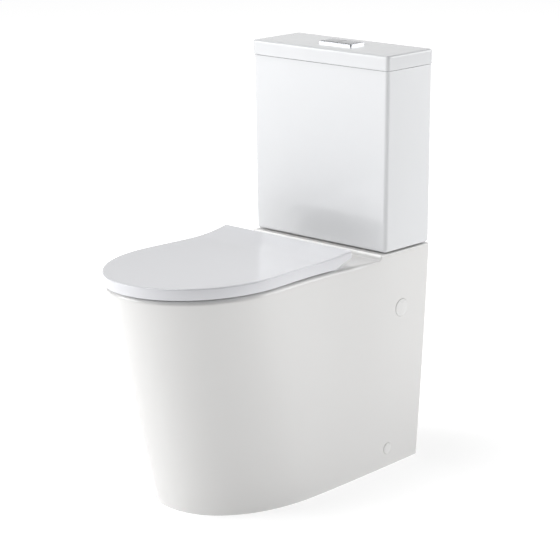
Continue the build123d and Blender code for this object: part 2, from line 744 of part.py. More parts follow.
def hex_nut(x, distance, bottom, thickness, across, bore):
    nut = extrude(RegularPolygon(across, 6), thickness) - Pos(0, 0, thickness / 2) * Cylinder(
        bore, thickness + 2
    )
    return Pos(x, from_wall(distance), bottom) * nut


def washer(x, distance, bottom, thickness, radius, bore):
    outside = rod_z(radius, bottom, bottom + thickness, x, distance)
    return outside - rod_z(bore, bottom - 1, bottom + thickness + 1, x, distance)


def seat_bolt(side):
    x = side * HINGE_SPACING / 2
    return rod_z(BOLT_RADIUS, RIM_HEIGHT - SEAT_BOLT_LENGTH, RIM_HEIGHT, x, HINGE_FROM_WALL)


def seat_washer(side):
    x = side * HINGE_SPACING / 2
    bottom = DECK_UNDERSIDE - WASHER_THICKNESS
    return washer(x, HINGE_FROM_WALL, bottom, WASHER_THICKNESS, NUT_RADIUS + 3, BOLT_RADIUS)


def seat_nut(side):
    x = side * HINGE_SPACING / 2
    bottom = DECK_UNDERSIDE - WASHER_THICKNESS - NUT_THICKNESS
    return hex_nut(x, HINGE_FROM_WALL, bottom, NUT_THICKNESS, NUT_RADIUS, BOLT_RADIUS)


# ---------------------------------------------------------------- flush valve

def valve_washer():
    """Rubber washer between the valve's flange and the tank floor."""
    bore = VALVE_TAIL_RADIUS
    return washer(0, CISTERN_MIDDLE, TANK_FLOOR, WASHER_THICKNESS, VALVE_FLANGE_RADIUS - 2, bore)


def valve_base():
    floor = TANK_FLOOR + WASHER_THICKNESS
    lip = floor + 4 + SEAT_LIP_HEIGHT
    base = rod_z(VALVE_FLANGE_RADIUS, floor, floor + 4)
    base += rod_z(VALVE_TAIL_RADIUS, CISTERN_BASE - VALVE_TAIL_LENGTH + 14, floor)
    base += rod_z(VALVE_TAIL_RADIUS, floor, lip)
    base -= rod_z(VALVE_BORE_RADIUS, CISTERN_BASE - VALVE_TAIL_LENGTH, lip + 1)
    radius = (VALVE_FLANGE_RADIUS + CAGE_RADIUS) / 2 + 1
    for angle in (45, 135, 225, 315):
        x = radius * cos(radians(angle))
        distance = CISTERN_MIDDLE + radius * sin(radians(angle))
        base += rod_z(3, floor + 3, TANK_FLOOR + CAGE_BOTTOM, x, distance)
    return base


def valve_cage():
    """Windowed housing that clips onto the base and guides the overflow tube."""
    bottom = TANK_FLOOR + CAGE_BOTTOM
    top = TANK_FLOOR + CAGE_TOP
    cage = rod_z(VALVE_FLANGE_RADIUS, bottom, bottom + 5)
    cage += rod_z(CAGE_RADIUS, bottom, top)
    cage -= rod_z(CAGE_RADIUS - CAGE_WALL, bottom - 1, top - 5)
    middle = CISTERN_MIDDLE
    for low, high in ((bottom + 15, bottom + 60), (bottom + 70, top - 20)):
        cage -= block(-10, 10, middle - 50, middle + 50, low, high)
        cage -= block(-50, 50, middle - 10, middle + 10, low, high)
    for side in SIDES:
        hole = PLUNGER_RADIUS + PLUNGER_CLEARANCE
        cage -= rod_z(hole, top - 6, top + 1, side * STEM_OFFSET)
    return cage


def valve_lip_top():
    return TANK_FLOOR + WASHER_THICKNESS + 4 + SEAT_LIP_HEIGHT


def overflow_tube():
    lip = valve_lip_top()
    seal = 3.0
    tube = rod_z(TUBE_RADIUS, lip - 6, TANK_FLOOR + TUBE_TOP)
    tube += rod_z(CAGE_RADIUS - CAGE_WALL - 1.5, lip + seal, lip + seal + 4)
    return tube - rod_z(TUBE_RADIUS - TUBE_WALL, lip - 7, TANK_FLOOR + TUBE_TOP + 1)


def valve_seal():
    return washer(0, CISTERN_MIDDLE, valve_lip_top(), 3.0, VALVE_TAIL_RADIUS, TUBE_RADIUS)


def plunger(side):
    top = TANK_FLOOR + PLUNGER_TOP
    body = rod_z(PLUNGER_RADIUS, top - PLUNGER_LENGTH, top, side * STEM_OFFSET)
    return body + rod_z(PLUNGER_RADIUS + 2, top - 3, top, side * STEM_OFFSET)


def valve_nut():
    bottom = CISTERN_BASE - VALVE_NUT_HEIGHT
    nut = rod_z(VALVE_NUT_RADIUS, bottom, CISTERN_BASE)
    for angle in range(0, 360, 45):
        x = VALVE_NUT_RADIUS * cos(radians(angle))
        distance = CISTERN_MIDDLE + VALVE_NUT_RADIUS * sin(radians(angle))
        nut -= rod_z(3, bottom - 1, CISTERN_BASE + 1, x, distance)
    return nut - rod_z(VALVE_TAIL_RADIUS, bottom - 1, CISTERN_BASE + 1)


def coupling_gasket():
    """Foam ring that seals the cistern to the pan around the valve nut."""
    bottom = PLATFORM_HEIGHT - RECESS_DEPTH
    ring = rod_z(RECESS_RADIUS - GASKET_CLEARANCE, bottom, CISTERN_BASE)
    ring -= rod_z(VALVE_TAIL_RADIUS, bottom - 1, CISTERN_BASE + 1)
    return ring - rod_z(VALVE_NUT_RADIUS + 0.2, CISTERN_BASE - VALVE_NUT_HEIGHT, CISTERN_BASE + 1)


def coupling_bolt(side):
    x = side * COUPLING_SPACING / 2
    top = TANK_FLOOR + 4
    bolt = rod_z(BOLT_RADIUS, DECK_UNDERSIDE - 26, top, x)
    return bolt + rod_z(NUT_RADIUS, top, top + 6, x)


def coupling_washer(side):
    x = side * COUPLING_SPACING / 2
    return washer(x, CISTERN_MIDDLE, TANK_FLOOR, 4.0, NUT_RADIUS + 4, BOLT_RADIUS)


def wing_nut(side):
    x = side * COUPLING_SPACING / 2
    top = DECK_UNDERSIDE
    nut = rod_z(NUT_RADIUS + 1, top - 11, top, x)
    wings = block(x - WING_SPAN / 2, x + WING_SPAN / 2, CISTERN_MIDDLE - 2, CISTERN_MIDDLE + 2,
                  top - 10, top - 3)
    return nut + wings - rod_z(BOLT_RADIUS, top - 12, top + 1, x)


# ---------------------------------------------------------------- fill valve

def inlet_washer(side):
    x = side * INLET_OFFSET
    return washer(x, CISTERN_MIDDLE, TANK_FLOOR, WASHER_THICKNESS, 17, INLET_SHANK_RADIUS)


def inlet_nut(side):
    x = side * INLET_OFFSET
    bottom = CISTERN_BASE - INLET_NUT_THICKNESS
    bore = INLET_SHANK_RADIUS
    return hex_nut(x, CISTERN_MIDDLE, bottom, INLET_NUT_THICKNESS, INLET_NUT_RADIUS, bore)


def fill_valve_body():
    """Upright riser with its threaded inlet below the tank floor."""
    x = INLET_OFFSET
    floor = TANK_FLOOR + WASHER_THICKNESS
    end = floor - INLET_LENGTH
    body = rod_z(INLET_RADIUS, end, end + INLET_THREAD_LENGTH, x)
    body += rod_z(INLET_SHANK_RADIUS, end + INLET_THREAD_LENGTH, floor, x)
    body += rod_z(17, floor, floor + 5, x)
    body += rod_z(FILL_COLUMN_RADIUS, floor + 5, TANK_FLOOR + FILL_HEAD_HEIGHT, x)
    return body - rod_z(6, end - 1, TANK_FLOOR + FILL_HEAD_HEIGHT - 10, x)


def fill_valve_head():
    x = INLET_OFFSET
    bottom = TANK_FLOOR + FILL_HEAD_HEIGHT
    head = rod_z(19, bottom, bottom + 20, x) + rod_z(15, bottom + 20, bottom + 28, x)
    return head + block(x - 26, x, CISTERN_MIDDLE - 5, CISTERN_MIDDLE + 5, bottom + 6, bottom + 16)


def fill_valve_float():
    x = INLET_OFFSET
    top = TANK_FLOOR + FILL_HEAD_HEIGHT - 8
    cup = rod_z(FLOAT_RADIUS, top - FLOAT_HEIGHT, top, x)
    bore = FILL_COLUMN_RADIUS + FLOAT_CLEARANCE
    return cup - rod_z(bore, top - FLOAT_HEIGHT - 1, top + 1, x)


def inlet_plug():
    """Plug in the inlet hole that isn't used."""
    x = -INLET_OFFSET
    floor = TANK_FLOOR + WASHER_THICKNESS
    return rod_z(INLET_SHANK_RADIUS, floor - 28, floor, x) + rod_z(16, floor, floor + 4, x)


# ---------------------------------------------------------------- caps and brackets

def side_cap(side, distance, height, radius, stem_radius):
    seat = CAP_PROUD - CAP_THICKNESS
    disc = side_bar(side, distance, height, radius, seat, CAP_PROUD)
    rim = disc.edges().filter_by(GeomType.CIRCLE).sort_by(Axis.X)
    disc = fillet(rim[-1] if side > 0 else rim[0], 0.7)
    return disc + side_bar(side, distance, height, stem_radius, seat - CAP_STEM, seat)


def upper_cap(side):
    stem = UPPER_HOLE_RADIUS - CAP_CLEARANCE
    return side_cap(side, UPPER_CAP_FROM_WALL, UPPER_CAP_HEIGHT, UPPER_CAP_RADIUS, stem)


def lower_cap(side):
    stem = LOWER_HOLE_RADIUS - CAP_CLEARANCE
    return side_cap(side, LOWER_CAP_FROM_WALL, LOWER_CAP_HEIGHT, LOWER_CAP_RADIUS, stem)


def bracket_screw(side):
    place = (side, LOWER_CAP_FROM_WALL, LOWER_CAP_HEIGHT)
    step = -PAN_WALL * 0.6
    head = side_bar(*place, LOWER_HOLE_RADIUS - 1, step, step + 3)
    return head + side_bar(*place, SIDE_SCREW_RADIUS, step - SIDE_SCREW_LENGTH, step)


def bracket_reach():
    """X of the bracket's outer face, clear of the inside of the leaning skirt."""
    return skirt_half_width(LOWER_CAP_FROM_WALL - BRACKET_LENGTH / 2, 0) - PAN_WALL - 2


def floor_bracket(side):
    """Angle that holds the pan down: upright leg for the side screw, foot for the floor screw."""
    outer = bracket_reach()
    near = LOWER_CAP_FROM_WALL - BRACKET_LENGTH / 2
    far = near + BRACKET_LENGTH
    ends = sorted((side * outer, side * (outer - BRACKET_WALL)))
    bracket = block(ends[0], ends[1], near, far, 0, BRACKET_HEIGHT)
    ends = sorted((side * outer, side * (outer - BRACKET_WIDTH)))
    bracket += block(ends[0], ends[1], near, far, 0, BRACKET_WALL)
    hole_x = side * (outer - BRACKET_WALL - (BRACKET_WIDTH - BRACKET_WALL) / 2)
    bracket -= rod_z(BRACKET_HOLE_RADIUS, -1, BRACKET_WALL + 1, hole_x, LOWER_CAP_FROM_WALL)
    place = (side, LOWER_CAP_FROM_WALL, LOWER_CAP_HEIGHT)
    return bracket - side_bar(*place, SIDE_SCREW_RADIUS, -60, 0)


# ---------------------------------------------------------------- all nodes

RING_BOTTOM = RIM_HEIGHT + RING_UNDER
RING_TOP = RING_BOTTOM + RING_THICKNESS
SEAT_UNDERSIDE = RIM_HEIGHT + SEAT_TOP - SEAT_SKIN

NODES = {
    **pan_pieces(),
    "cistern_tank": cistern_tank(),
    "cistern_lid": cistern_lid(),
    "button_bezel": button_bezel(),
    "button_clamp": button_clamp(),
    "full_flush_button": button(1),
    "half_flush_button": button(-1),
    "full_flush_push_rod": push_rod(1),
    "half_flush_push_rod": push_rod(-1),
    "full_flush_spring": button_spring(1),
    "half_flush_spring": button_spring(-1),
    "seat_lid": seat_lid(),
    "seat_ring": seat_ring(),
    "lid_bumpers": bumpers(RING_TOP, SEAT_UNDERSIDE),
    "ring_bumpers": bumpers(RIM_HEIGHT, RING_BOTTOM),
    "hinge_posts": mirrored(hinge_post),
    "hinge_feet": mirrored(hinge_foot),
    "hinge_pins": mirrored(hinge_pin),
    "lid_dampers": group([damper(side, -1) for side in SIDES]),
    "ring_dampers": group([damper(side, 1) for side in SIDES]),
    "seat_bolts": mirrored(seat_bolt),
    "seat_bolt_washers": mirrored(seat_washer),
    "seat_bolt_nuts": mirrored(seat_nut),
    "flush_valve_base": valve_base(),
    "flush_valve_washer": valve_washer(),
    "flush_valve_cage": valve_cage(),
    "flush_valve_tube": overflow_tube(),
    "flush_valve_seal": valve_seal(),
    "full_flush_plunger": plunger(1),
    "half_flush_plunger": plunger(-1),
    "flush_valve_nut": valve_nut(),
    "coupling_gasket": coupling_gasket(),
    "coupling_bolts": mirrored(coupling_bolt),
    "coupling_washers": mirrored(coupling_washer),
    "coupling_wing_nuts": mirrored(wing_nut),
    "fill_valve_body": fill_valve_body(),
    "fill_valve_head": fill_valve_head(),
    "fill_valve_float": fill_valve_float(),
    "inlet_washers": mirrored(inlet_washer),
    "inlet_nuts": mirrored(inlet_nut),
    "inlet_plug": inlet_plug(),
    "upper_side_caps": mirrored(upper_cap),
    "lower_side_caps": mirrored(lower_cap),
    "bracket_screws": mirrored(bracket_screw),
    "floor_brackets": mirrored(floor_bracket),
}

os.makedirs("parts", exist_ok=True)
for name, shape in NODES.items():
    export_step(shape, f"parts/{name}.step")
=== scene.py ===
import bpy
import bmesh
import json
import math
import numpy as np
from mathutils import Matrix, Vector


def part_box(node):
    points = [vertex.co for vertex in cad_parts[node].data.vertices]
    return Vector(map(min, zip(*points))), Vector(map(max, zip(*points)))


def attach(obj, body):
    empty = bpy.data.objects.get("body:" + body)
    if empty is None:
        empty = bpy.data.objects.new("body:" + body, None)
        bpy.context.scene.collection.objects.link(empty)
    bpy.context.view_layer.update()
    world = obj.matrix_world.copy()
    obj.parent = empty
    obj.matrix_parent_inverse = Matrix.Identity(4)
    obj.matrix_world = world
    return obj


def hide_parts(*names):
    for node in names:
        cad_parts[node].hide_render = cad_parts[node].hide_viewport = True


# Looks of a close coupled toilet: glazed china pan and cistern, polished wrap-over seat and
# chrome flush buttons. Metres. X runs left to right, Y towards the wall and Z up from the floor.

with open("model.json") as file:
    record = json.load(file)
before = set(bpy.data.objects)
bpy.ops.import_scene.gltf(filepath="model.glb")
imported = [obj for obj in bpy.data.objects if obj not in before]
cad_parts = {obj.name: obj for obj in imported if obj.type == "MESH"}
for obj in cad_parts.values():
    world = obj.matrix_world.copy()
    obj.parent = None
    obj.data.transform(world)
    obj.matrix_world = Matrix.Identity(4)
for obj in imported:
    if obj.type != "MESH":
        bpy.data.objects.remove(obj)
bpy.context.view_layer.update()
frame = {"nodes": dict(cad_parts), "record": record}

# ---------------------------------------------------------------- sizes

DECK_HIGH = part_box("pan_deck")[1]
TANK_LOW, TANK_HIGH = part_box("cistern_tank")
LID_LOW, LID_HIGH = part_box("cistern_lid")
BEZEL_LOW, BEZEL_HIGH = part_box("button_bezel")
FULL_LOW, FULL_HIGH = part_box("full_flush_button")
HALF_LOW, HALF_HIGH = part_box("half_flush_button")
SEAT_LOW, SEAT_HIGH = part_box("seat_lid")
PIN_LOW, PIN_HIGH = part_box("hinge_pins")

WALL = DECK_HIGH.y
DEPTH = WALL - SEAT_LOW.y
PLATFORM_RISE = 0.009
PLATFORM = DECK_HIGH.z
RIM = PLATFORM - PLATFORM_RISE
PLATFORM_FRONT = 0.146
STEP_RADIUS = 0.012
PAN_WALL = 0.014
DECK = 0.018
TAPER = 0.0041
RIM_BACK = TANK_HIGH.x - TAPER
RIM_TIP = DEPTH - 0.004
FRONT_RAKE = 0.110
RIM_ROUNDING = 0.009
PLATFORM_ROUNDING = 0.0035
FOOT_ROUNDING = 0.0025
BACK_CORNER = 0.004
BULGE = 0.0017

BOWL_WALL = 0.011
BOWL_HALF = 0.126
BOWL_FRONT = RIM_TIP - 0.048
BOWL_BACK = 0.296
SUMP = 0.150
SUMP_SHIFT = 0.38
CISTERN_MIDDLE = 0.069
INLET = 0.120
CLOSE_BOLT = 0.085
BOLT_HOLE = 0.0055
INLET_WELL = 0.021
INLET_HOLE = 0.01148
WASTE_HEIGHT = 0.185
SPIGOT_RADIUS = 0.051
SPIGOT_END = 0.014
SPIGOT_ROOT = 0.104
TRAP_BORE = 0.036
TRAP_OUTSIDE = 0.046
TRAP_BEND = 0.050
TRAP_LOW = 0.188
WEIR = 0.306
DUCT = RIM - 0.048
DUCT_BORE = 0.022
DUCT_OUTSIDE = 0.031
RECESS_RADIUS = 0.050
RECESS_DEPTH = 0.032
RECESS_OUTSIDE = 0.062
CISTERN_WALL = 0.009
CISTERN_FLOOR = 0.012
CISTERN_CORNER = 0.008
VALVE_HOLE = 0.031
WALL_SCREW = 0.075
WALL_SCREW_DROP = 0.060
WALL_SCREW_HOLE = 0.0045
LID_WALL = 0.012
LID_GROOVE = 0.0016
LID_REST = 0.0065
STEM = 0.012
STEM_RADIUS = 0.0035
STEM_HOLE = 0.0039
PAST = 0.001

SEAT_BACK = WALL - SEAT_HIGH.y
SEAT_TOP = RIM + 0.0258
SEAT_RISE = SEAT_HIGH.z - SEAT_TOP
SEAT_RISE_LENGTH = 0.100
SEAT_NOSE = 0.206
HINGE = WALL - (PIN_LOW.y + PIN_HIGH.y) / 2
AXIS = (PIN_LOW.z + PIN_HIGH.z) / 2
POST = 0.0775
BARREL = 0.009
PIN_HOLE = 0.0065
LUG_NEAR = 0.0075
LUG_FAR = 0.0265
BUTTON_MIDDLE = (BEZEL_LOW.y + BEZEL_HIGH.y) / 2

SIDES = (-1, 1)


def from_wall(distance):
    """Y of a point this far in front of the wall."""
    return WALL - distance


# ---------------------------------------------------------------- numbers

def smooth_step(low, high, value):
    """0 below the low value, 1 above the high one, with a soft change between them."""
    t = np.clip((value - low) / (high - low), 0, 1)
    return t * t * (3 - 2 * t)


def curve_through(knots, values, x, end_slope=None):
    """Smooth curve through a few points, read at x. Its last slope can be set."""
    knots, values = np.asarray(knots, float), np.asarray(values, float)
    n = len(knots)
    gaps = np.diff(knots)
    slopes = np.diff(values) / gaps
    system, right = np.zeros((n, n)), np.zeros(n)
    system[0, 0] = system[-1, -1] = 1
    for i in range(1, n - 1):
        system[i, i - 1:i + 2] = gaps[i - 1], 2 * (gaps[i - 1] + gaps[i]), gaps[i]
        right[i] = 6 * (slopes[i] - slopes[i - 1])
    if end_slope is not None:
        system[-1, -2:] = gaps[-1], 2 * gaps[-1]
        right[-1] = 6 * (end_slope - slopes[-1])
    bend = np.linalg.solve(system, right)
    x = np.asarray(x, float)
    i = np.clip(np.searchsorted(knots, x) - 1, 0, n - 2)
    h = gaps[i]
    a, b = (knots[i + 1] - x) / h, (x - knots[i]) / h
    cubic = ((a ** 3 - a) * bend[i] + (b ** 3 - b) * bend[i + 1]) * h * h / 6
    return a * values[i] + b * values[i + 1] + cubic


def quarter(steps):
    """Angles of a quarter turn."""
    return np.linspace(0, math.pi / 2, steps + 1)


# ---------------------------------------------------------------- meshes

def mesh_object(name, points, faces):
    """A closed mesh whose faces all look outwards."""
    mesh = bpy.data.meshes.new(name)
    mesh.from_pydata([tuple(p) for p in points], [], faces)
    form = bmesh.new()
    form.from_mesh(mesh)
    bmesh.ops.remove_doubles(form, verts=form.verts, dist=1e-6)
    bmesh.ops.recalc_face_normals(form, faces=form.faces)
    form.to_mesh(mesh)
    form.free()
    thing = bpy.data.objects.new(name, mesh)
    bpy.context.scene.collection.objects.link(thing)
    return thing


def combine(target, tool, operation="DIFFERENCE"):
    """Cuts one closed solid with another, or joins the two. The tool is used up."""
    step = target.modifiers.new("combine", "BOOLEAN")
    step.operation = operation
    step.solver = "MANIFOLD"
    step.object = tool
    graph = bpy.context.evaluated_depsgraph_get()
    graph.update()
    mesh = bpy.data.meshes.new_from_object(target.evaluated_get(graph))
    target.modifiers.clear()
    target.data = mesh
    bpy.data.objects.remove(tool)
    return target


def join(target, *tools):
    """Adds closed solids to the target, one after another."""
    for tool in tools:
        combine(target, tool, "UNION")
    return target


def cut(target, *tools):
    """Takes closed solids away from the target, one after another."""
    for tool in tools:
        combine(target, tool)
    return target


def smooth(thing, sharp_from=35):
    """Smooth shading that stays sharp at edges over this angle."""
    thing.data.polygons.foreach_set("use_smooth", [True] * len(thing.data.polygons))
    thing.data.set_sharp_from_angle(angle=math.radians(sharp_from))
    return thing


def d_solid(name, rings, across=24):
    """Closed solid through mirror-symmetric rings, lowest first.

    A ring runs from the back right round the front to the back left."""
    rings = np.asarray(rings)
    levels, count = rings.shape[:2]
    half = count // 2
    points = [tuple(p) for ring in rings for p in ring]
    faces = []
    for k in range(levels - 1):
        for i in range(count - 1):
            a = k * count + i
            faces.append((a, a + 1, a + 1 + count, a + count))

    def strip(first, second):
        """Row of points straight across, between a right and a left point."""
        start, stop = np.asarray(points[first]), np.asarray(points[second])
        row = [first]
        for j in range(1, across):
            points.append(tuple(start + (stop - start) * j / across))
            row.append(len(points) - 1)
        return row + [second]

    def bridge(rows):
        for one, two in zip(rows, rows[1:]):
            for j in range(across):
                if two[0] == two[-1]:
                    faces.append((one[j], one[j + 1], two[0]))
                else:
                    faces.append((one[j], one[j + 1], two[j + 1], two[j]))

    back = [strip(k * count, k * count + count - 1) for k in range(levels)]
    bridge(back)
    for start, edge in ((0, back[0]), ((levels - 1) * count, back[-1])):
        rows = [edge]
        rows += [strip(start + i, start + count - 1 - i) for i in range(1, half)]
        rows.append([start + half] * (across + 1))
        bridge(rows)
    return mesh_object(name, points, faces)


def loop_solid(name, rings):
    """Closed solid through rings of equal length, with a flat fan at each end."""
    rings = np.asarray(rings)
    levels, count = rings.shape[:2]
    points = [tuple(p) for ring in rings for p in ring]
    faces = []
    for k in range(levels - 1):
        for i in range(count):
            a, b = k * count + i, k * count + (i + 1) % count
            faces.append((a, b, b + count, a + count))
    for k in (0, levels - 1):
        points.append(tuple(rings[k].mean(0)))
        for i in range(count):
            faces.append((k * count + i, k * count + (i + 1) % count, len(points) - 1))
    return mesh_object(name, points, faces)


def tube(name, path, radius, sides=64):
    """Round bar along a path in a plane X = constant."""
    path = np.asarray(path, float)
    along = np.gradient(path, axis=0)
    along /= np.linalg.norm(along, axis=1)[:, None]
    across = np.array([1.0, 0, 0])
    turns = np.linspace(0, 2 * math.pi, sides, endpoint=False)
    rings = []
    for point, heading in zip(path, along):
        up = np.cross(across, heading)
        rings.append([point + radius * (math.cos(t) * across + math.sin(t) * up) for t in turns])
    return loop_solid(name, rings)


def bar(start, end, radius, sides=64, edge=0.0):
    """Round bar between two points; edge rounds its far end."""
    start, end = np.asarray(start, float), np.asarray(end, float)
    axis = (end - start) / np.linalg.norm(end - start)
    helper = np.array([0, 0, 1.0]) if abs(axis[2]) < 0.9 else np.array([1.0, 0, 0])
    u = np.cross(axis, helper)
    u /= np.linalg.norm(u)
    v = np.cross(axis, u)
    profile = [(start, radius), (end, radius)]
    if edge:
        profile = [(start, radius)]
        for b in quarter(6):
            profile.append((end - axis * edge * (1 - math.sin(b)), radius - edge * (1 - math.cos(b))))
    turns = np.linspace(0, 2 * math.pi, sides, endpoint=False)
    rings = [[c + r * (math.cos(t) * u + math.sin(t) * v) for t in turns] for c, r in profile]
    return loop_solid("bar", rings)


def upright(x, distance, low, high, radius, sides=64):
    """Round bar along Z."""
    return bar((x, from_wall(distance), low), (x, from_wall(distance), high), radius, sides)


def level(low, high, distance, height, radius, sides=48):
    """Round bar along X."""
    y = from_wall(distance)
    return bar((low, y, height), (high, y, height), radius, sides)


def edge_rows(low, high, edge_low, edge_high, steps=8):
    """(height, inset) rows up a side with rounded lower and upper edges."""
    rows = [(low, 0)]
    if edge_low:
        rows = [(low + edge_low * (1 - math.cos(b)), edge_low * (1 - math.sin(b)))
                for b in quarter(steps)]
    if edge_high:
        return rows + [(high - edge_high * (1 - math.sin(b)), edge_high * (1 - math.cos(b)))
                       for b in quarter(steps)]
    return rows + [(high, 0)]


def slab(name, box, corner, edge_low=0.0, edge_high=0.0, spread=0.0, crown=0.0):
    """Upright block with round corners and edges. Spread widens its top, crown lifts its middle.

    The box is (x low, x high, y low, y high, z low, z high) at its foot."""
    x_low, x_high, y_low, y_high, low, high = box
    middle_x, middle_y = (x_low + x_high) / 2, (y_low + y_high) / 2
    half_x, half_y = (x_high - x_low) / 2, (y_high - y_low) / 2

    def ring(inset, height, grow):
        points = []
        radius = max(corner - inset, 0.0003)
        for quarter_turn, (sign_x, sign_y) in enumerate(((1, 1), (-1, 1), (-1, -1), (1, -1))):
            for step in range(11):
                turn = math.pi / 2 * (quarter_turn + step / 10)
                x = sign_x * (half_x + grow - inset - radius) + radius * math.cos(turn)
                y = sign_y * (half_y - inset - radius) + radius * math.sin(turn)
                points.append((middle_x + x, middle_y + y, height))
        return points

    rings = []
    for height, inset in edge_rows(low, high, edge_low, edge_high):
        rings.append(ring(inset, height, spread * (height - low) / (high - low)))
    if crown:
        reach = min(half_x, half_y) - corner
        for share in (0.25, 0.5, 0.75, 0.96):
            height = high + crown * (1 - (1 - share) ** 2)
            rings.append(ring(edge_high + reach * share, height, spread))
    return loop_solid(name, rings)


# ---------------------------------------------------------------- D outlines

def d_outline(knots, halves, nose_start, tip, nose_half, power, shares, corner=0.0):
    """(x, distance from the wall) from the back, along the right side, to the tip."""
    back = knots[0]
    places = back + (nose_start - back) * shares
    side = curve_through(list(knots) + [nose_start], list(halves) + [nose_half], places, 0.0)
    angles = quarter(64)[1:]
    x = np.concatenate([side, nose_half * np.cos(angles).clip(0) ** (2 / power)])
    d = np.concatenate([places, nose_start + (tip - nose_start) * np.sin(angles) ** (2 / power)])
    x[-1] = 0
    if corner:
        turns = quarter(5)[:-1]
        keep = d > back + corner
        start = np.interp(back + corner, d, x)
        x = np.concatenate([start - corner * (1 - np.sin(turns)), [start], x[keep]])
        d = np.concatenate([back + corner * (1 - np.cos(turns)), [back + corner], d[keep]])
    return x, d


def whole_ring(x, distance, height):
    """Both halves of a ring, from the back right round the tip to the back left."""
    right = np.stack([x, from_wall(distance), np.broadcast_to(height, x.shape)], 1)
    return np.concatenate([right, right[-2::-1] * (-1, 1, 1)])


def pulled_in(ring, inset):
    """The ring moved inwards, square to itself."""
    along = np.gradient(ring[:, :2], axis=0)
    normal = np.stack([along[:, 1], -along[:, 0]], 1)
    normal /= np.linalg.norm(normal, axis=1)[:, None]
    moved = ring.copy()
    moved[:, :2] += normal * np.broadcast_to(inset, len(ring))[:, None]
    moved[len(ring) // 2, 0] = 0
    return moved


def both_sides(values):
    """Values for one half of a ring, mirrored to the whole ring."""
    return np.concatenate([values, values[-2::-1]])


# ---------------------------------------------------------------- pan

STEP_END = PLATFORM_FRONT + STEP_RADIUS
RIM_NOSE_START = RIM_TIP - SEAT_NOSE + 0.004
PAN_SHARES = np.unique(np.round(np.concatenate([
    np.linspace(0, 1, 44),
    np.linspace(PLATFORM_FRONT - 0.004, STEP_END + 0.004, 20) / RIM_NOSE_START,
]), 6))
PLAIN_SHARES = np.linspace(0, 1, 30)


def pan_outline(height, shares, inset=0.0, back=0.0, corner=0.0):
    """The pan's outline at a height, or the same outline moved inwards."""
    t = height / RIM
    bulge = BULGE * 4 * t * (1 - t)

    def between(low, high):
        return low + (high - low) * t

    tip = between(RIM_TIP - FRONT_RAKE, RIM_TIP) - inset
    nose_start = tip - between(0.232, SEAT_NOSE - 0.004) + inset
    shoulder = between(0.130, PLATFORM_FRONT)
    halves = [between(0.146, RIM_BACK), between(0.152, RIM_BACK), between(0.156, 0.1665)]
    halves = [half + bulge - inset for half in halves]
    knots = [back, shoulder, (shoulder + nose_start) / 2]
    nose_half = between(0.158, 0.1715) - inset
    return d_outline(knots, halves, nose_start, tip, nose_half, between(2.2, 2.0), shares, corner)


def pan_top(distance):
    """Height of the pan's top: the cistern platform, its hollow foot and the flat deck."""
    x = np.clip(STEP_END - distance, 0, STEP_RADIUS)
    arc = STEP_RADIUS - np.sqrt(np.maximum(STEP_RADIUS ** 2 - x ** 2, 0))
    rise = np.minimum(arc, PLATFORM_RISE)
    return RIM + np.where(distance < PLATFORM_FRONT, PLATFORM_RISE, rise)


def pan_body():
    """The pan's outside as one full solid, with its soft foot, rim and platform edges."""
    base_x, base_d = pan_outline(RIM, PAN_SHARES, corner=BACK_CORNER)
    top = pan_top(base_d)
    rounding = PLATFORM_ROUNDING + (RIM_ROUNDING - PLATFORM_ROUNDING) * smooth_step(0.150, 0.200, base_d)

    def ring_at(heights, inset):
        """Ring whose height changes along it."""
        x, d = np.empty_like(base_x), np.empty_like(base_d)
        for height in np.unique(np.round(heights, 7)):
            here_x, here_d = pan_outline(height, PAN_SHARES, corner=BACK_CORNER)
            same = np.abs(heights - height) < 1e-6
            x[same], d[same] = here_x[same], here_d[same]
        return pulled_in(whole_ring(x, d, heights), both_sides(inset))

    flat = np.ones_like(top)
    rings = []
    for b in quarter(5):
        low = FOOT_ROUNDING * (1 - math.cos(b))
        rings.append(ring_at(low * flat, FOOT_ROUNDING * (1 - math.sin(b)) * flat))
    for share in np.linspace(0, 1, 26)[1:-1]:
        rings.append(ring_at(FOOT_ROUNDING + (top - rounding - FOOT_ROUNDING) * share, 0 * flat))
    for b in quarter(10):
        rings.append(ring_at(top - rounding * (1 - math.sin(b)), rounding * (1 - math.cos(b))))
    return d_solid("china_pan", rings)


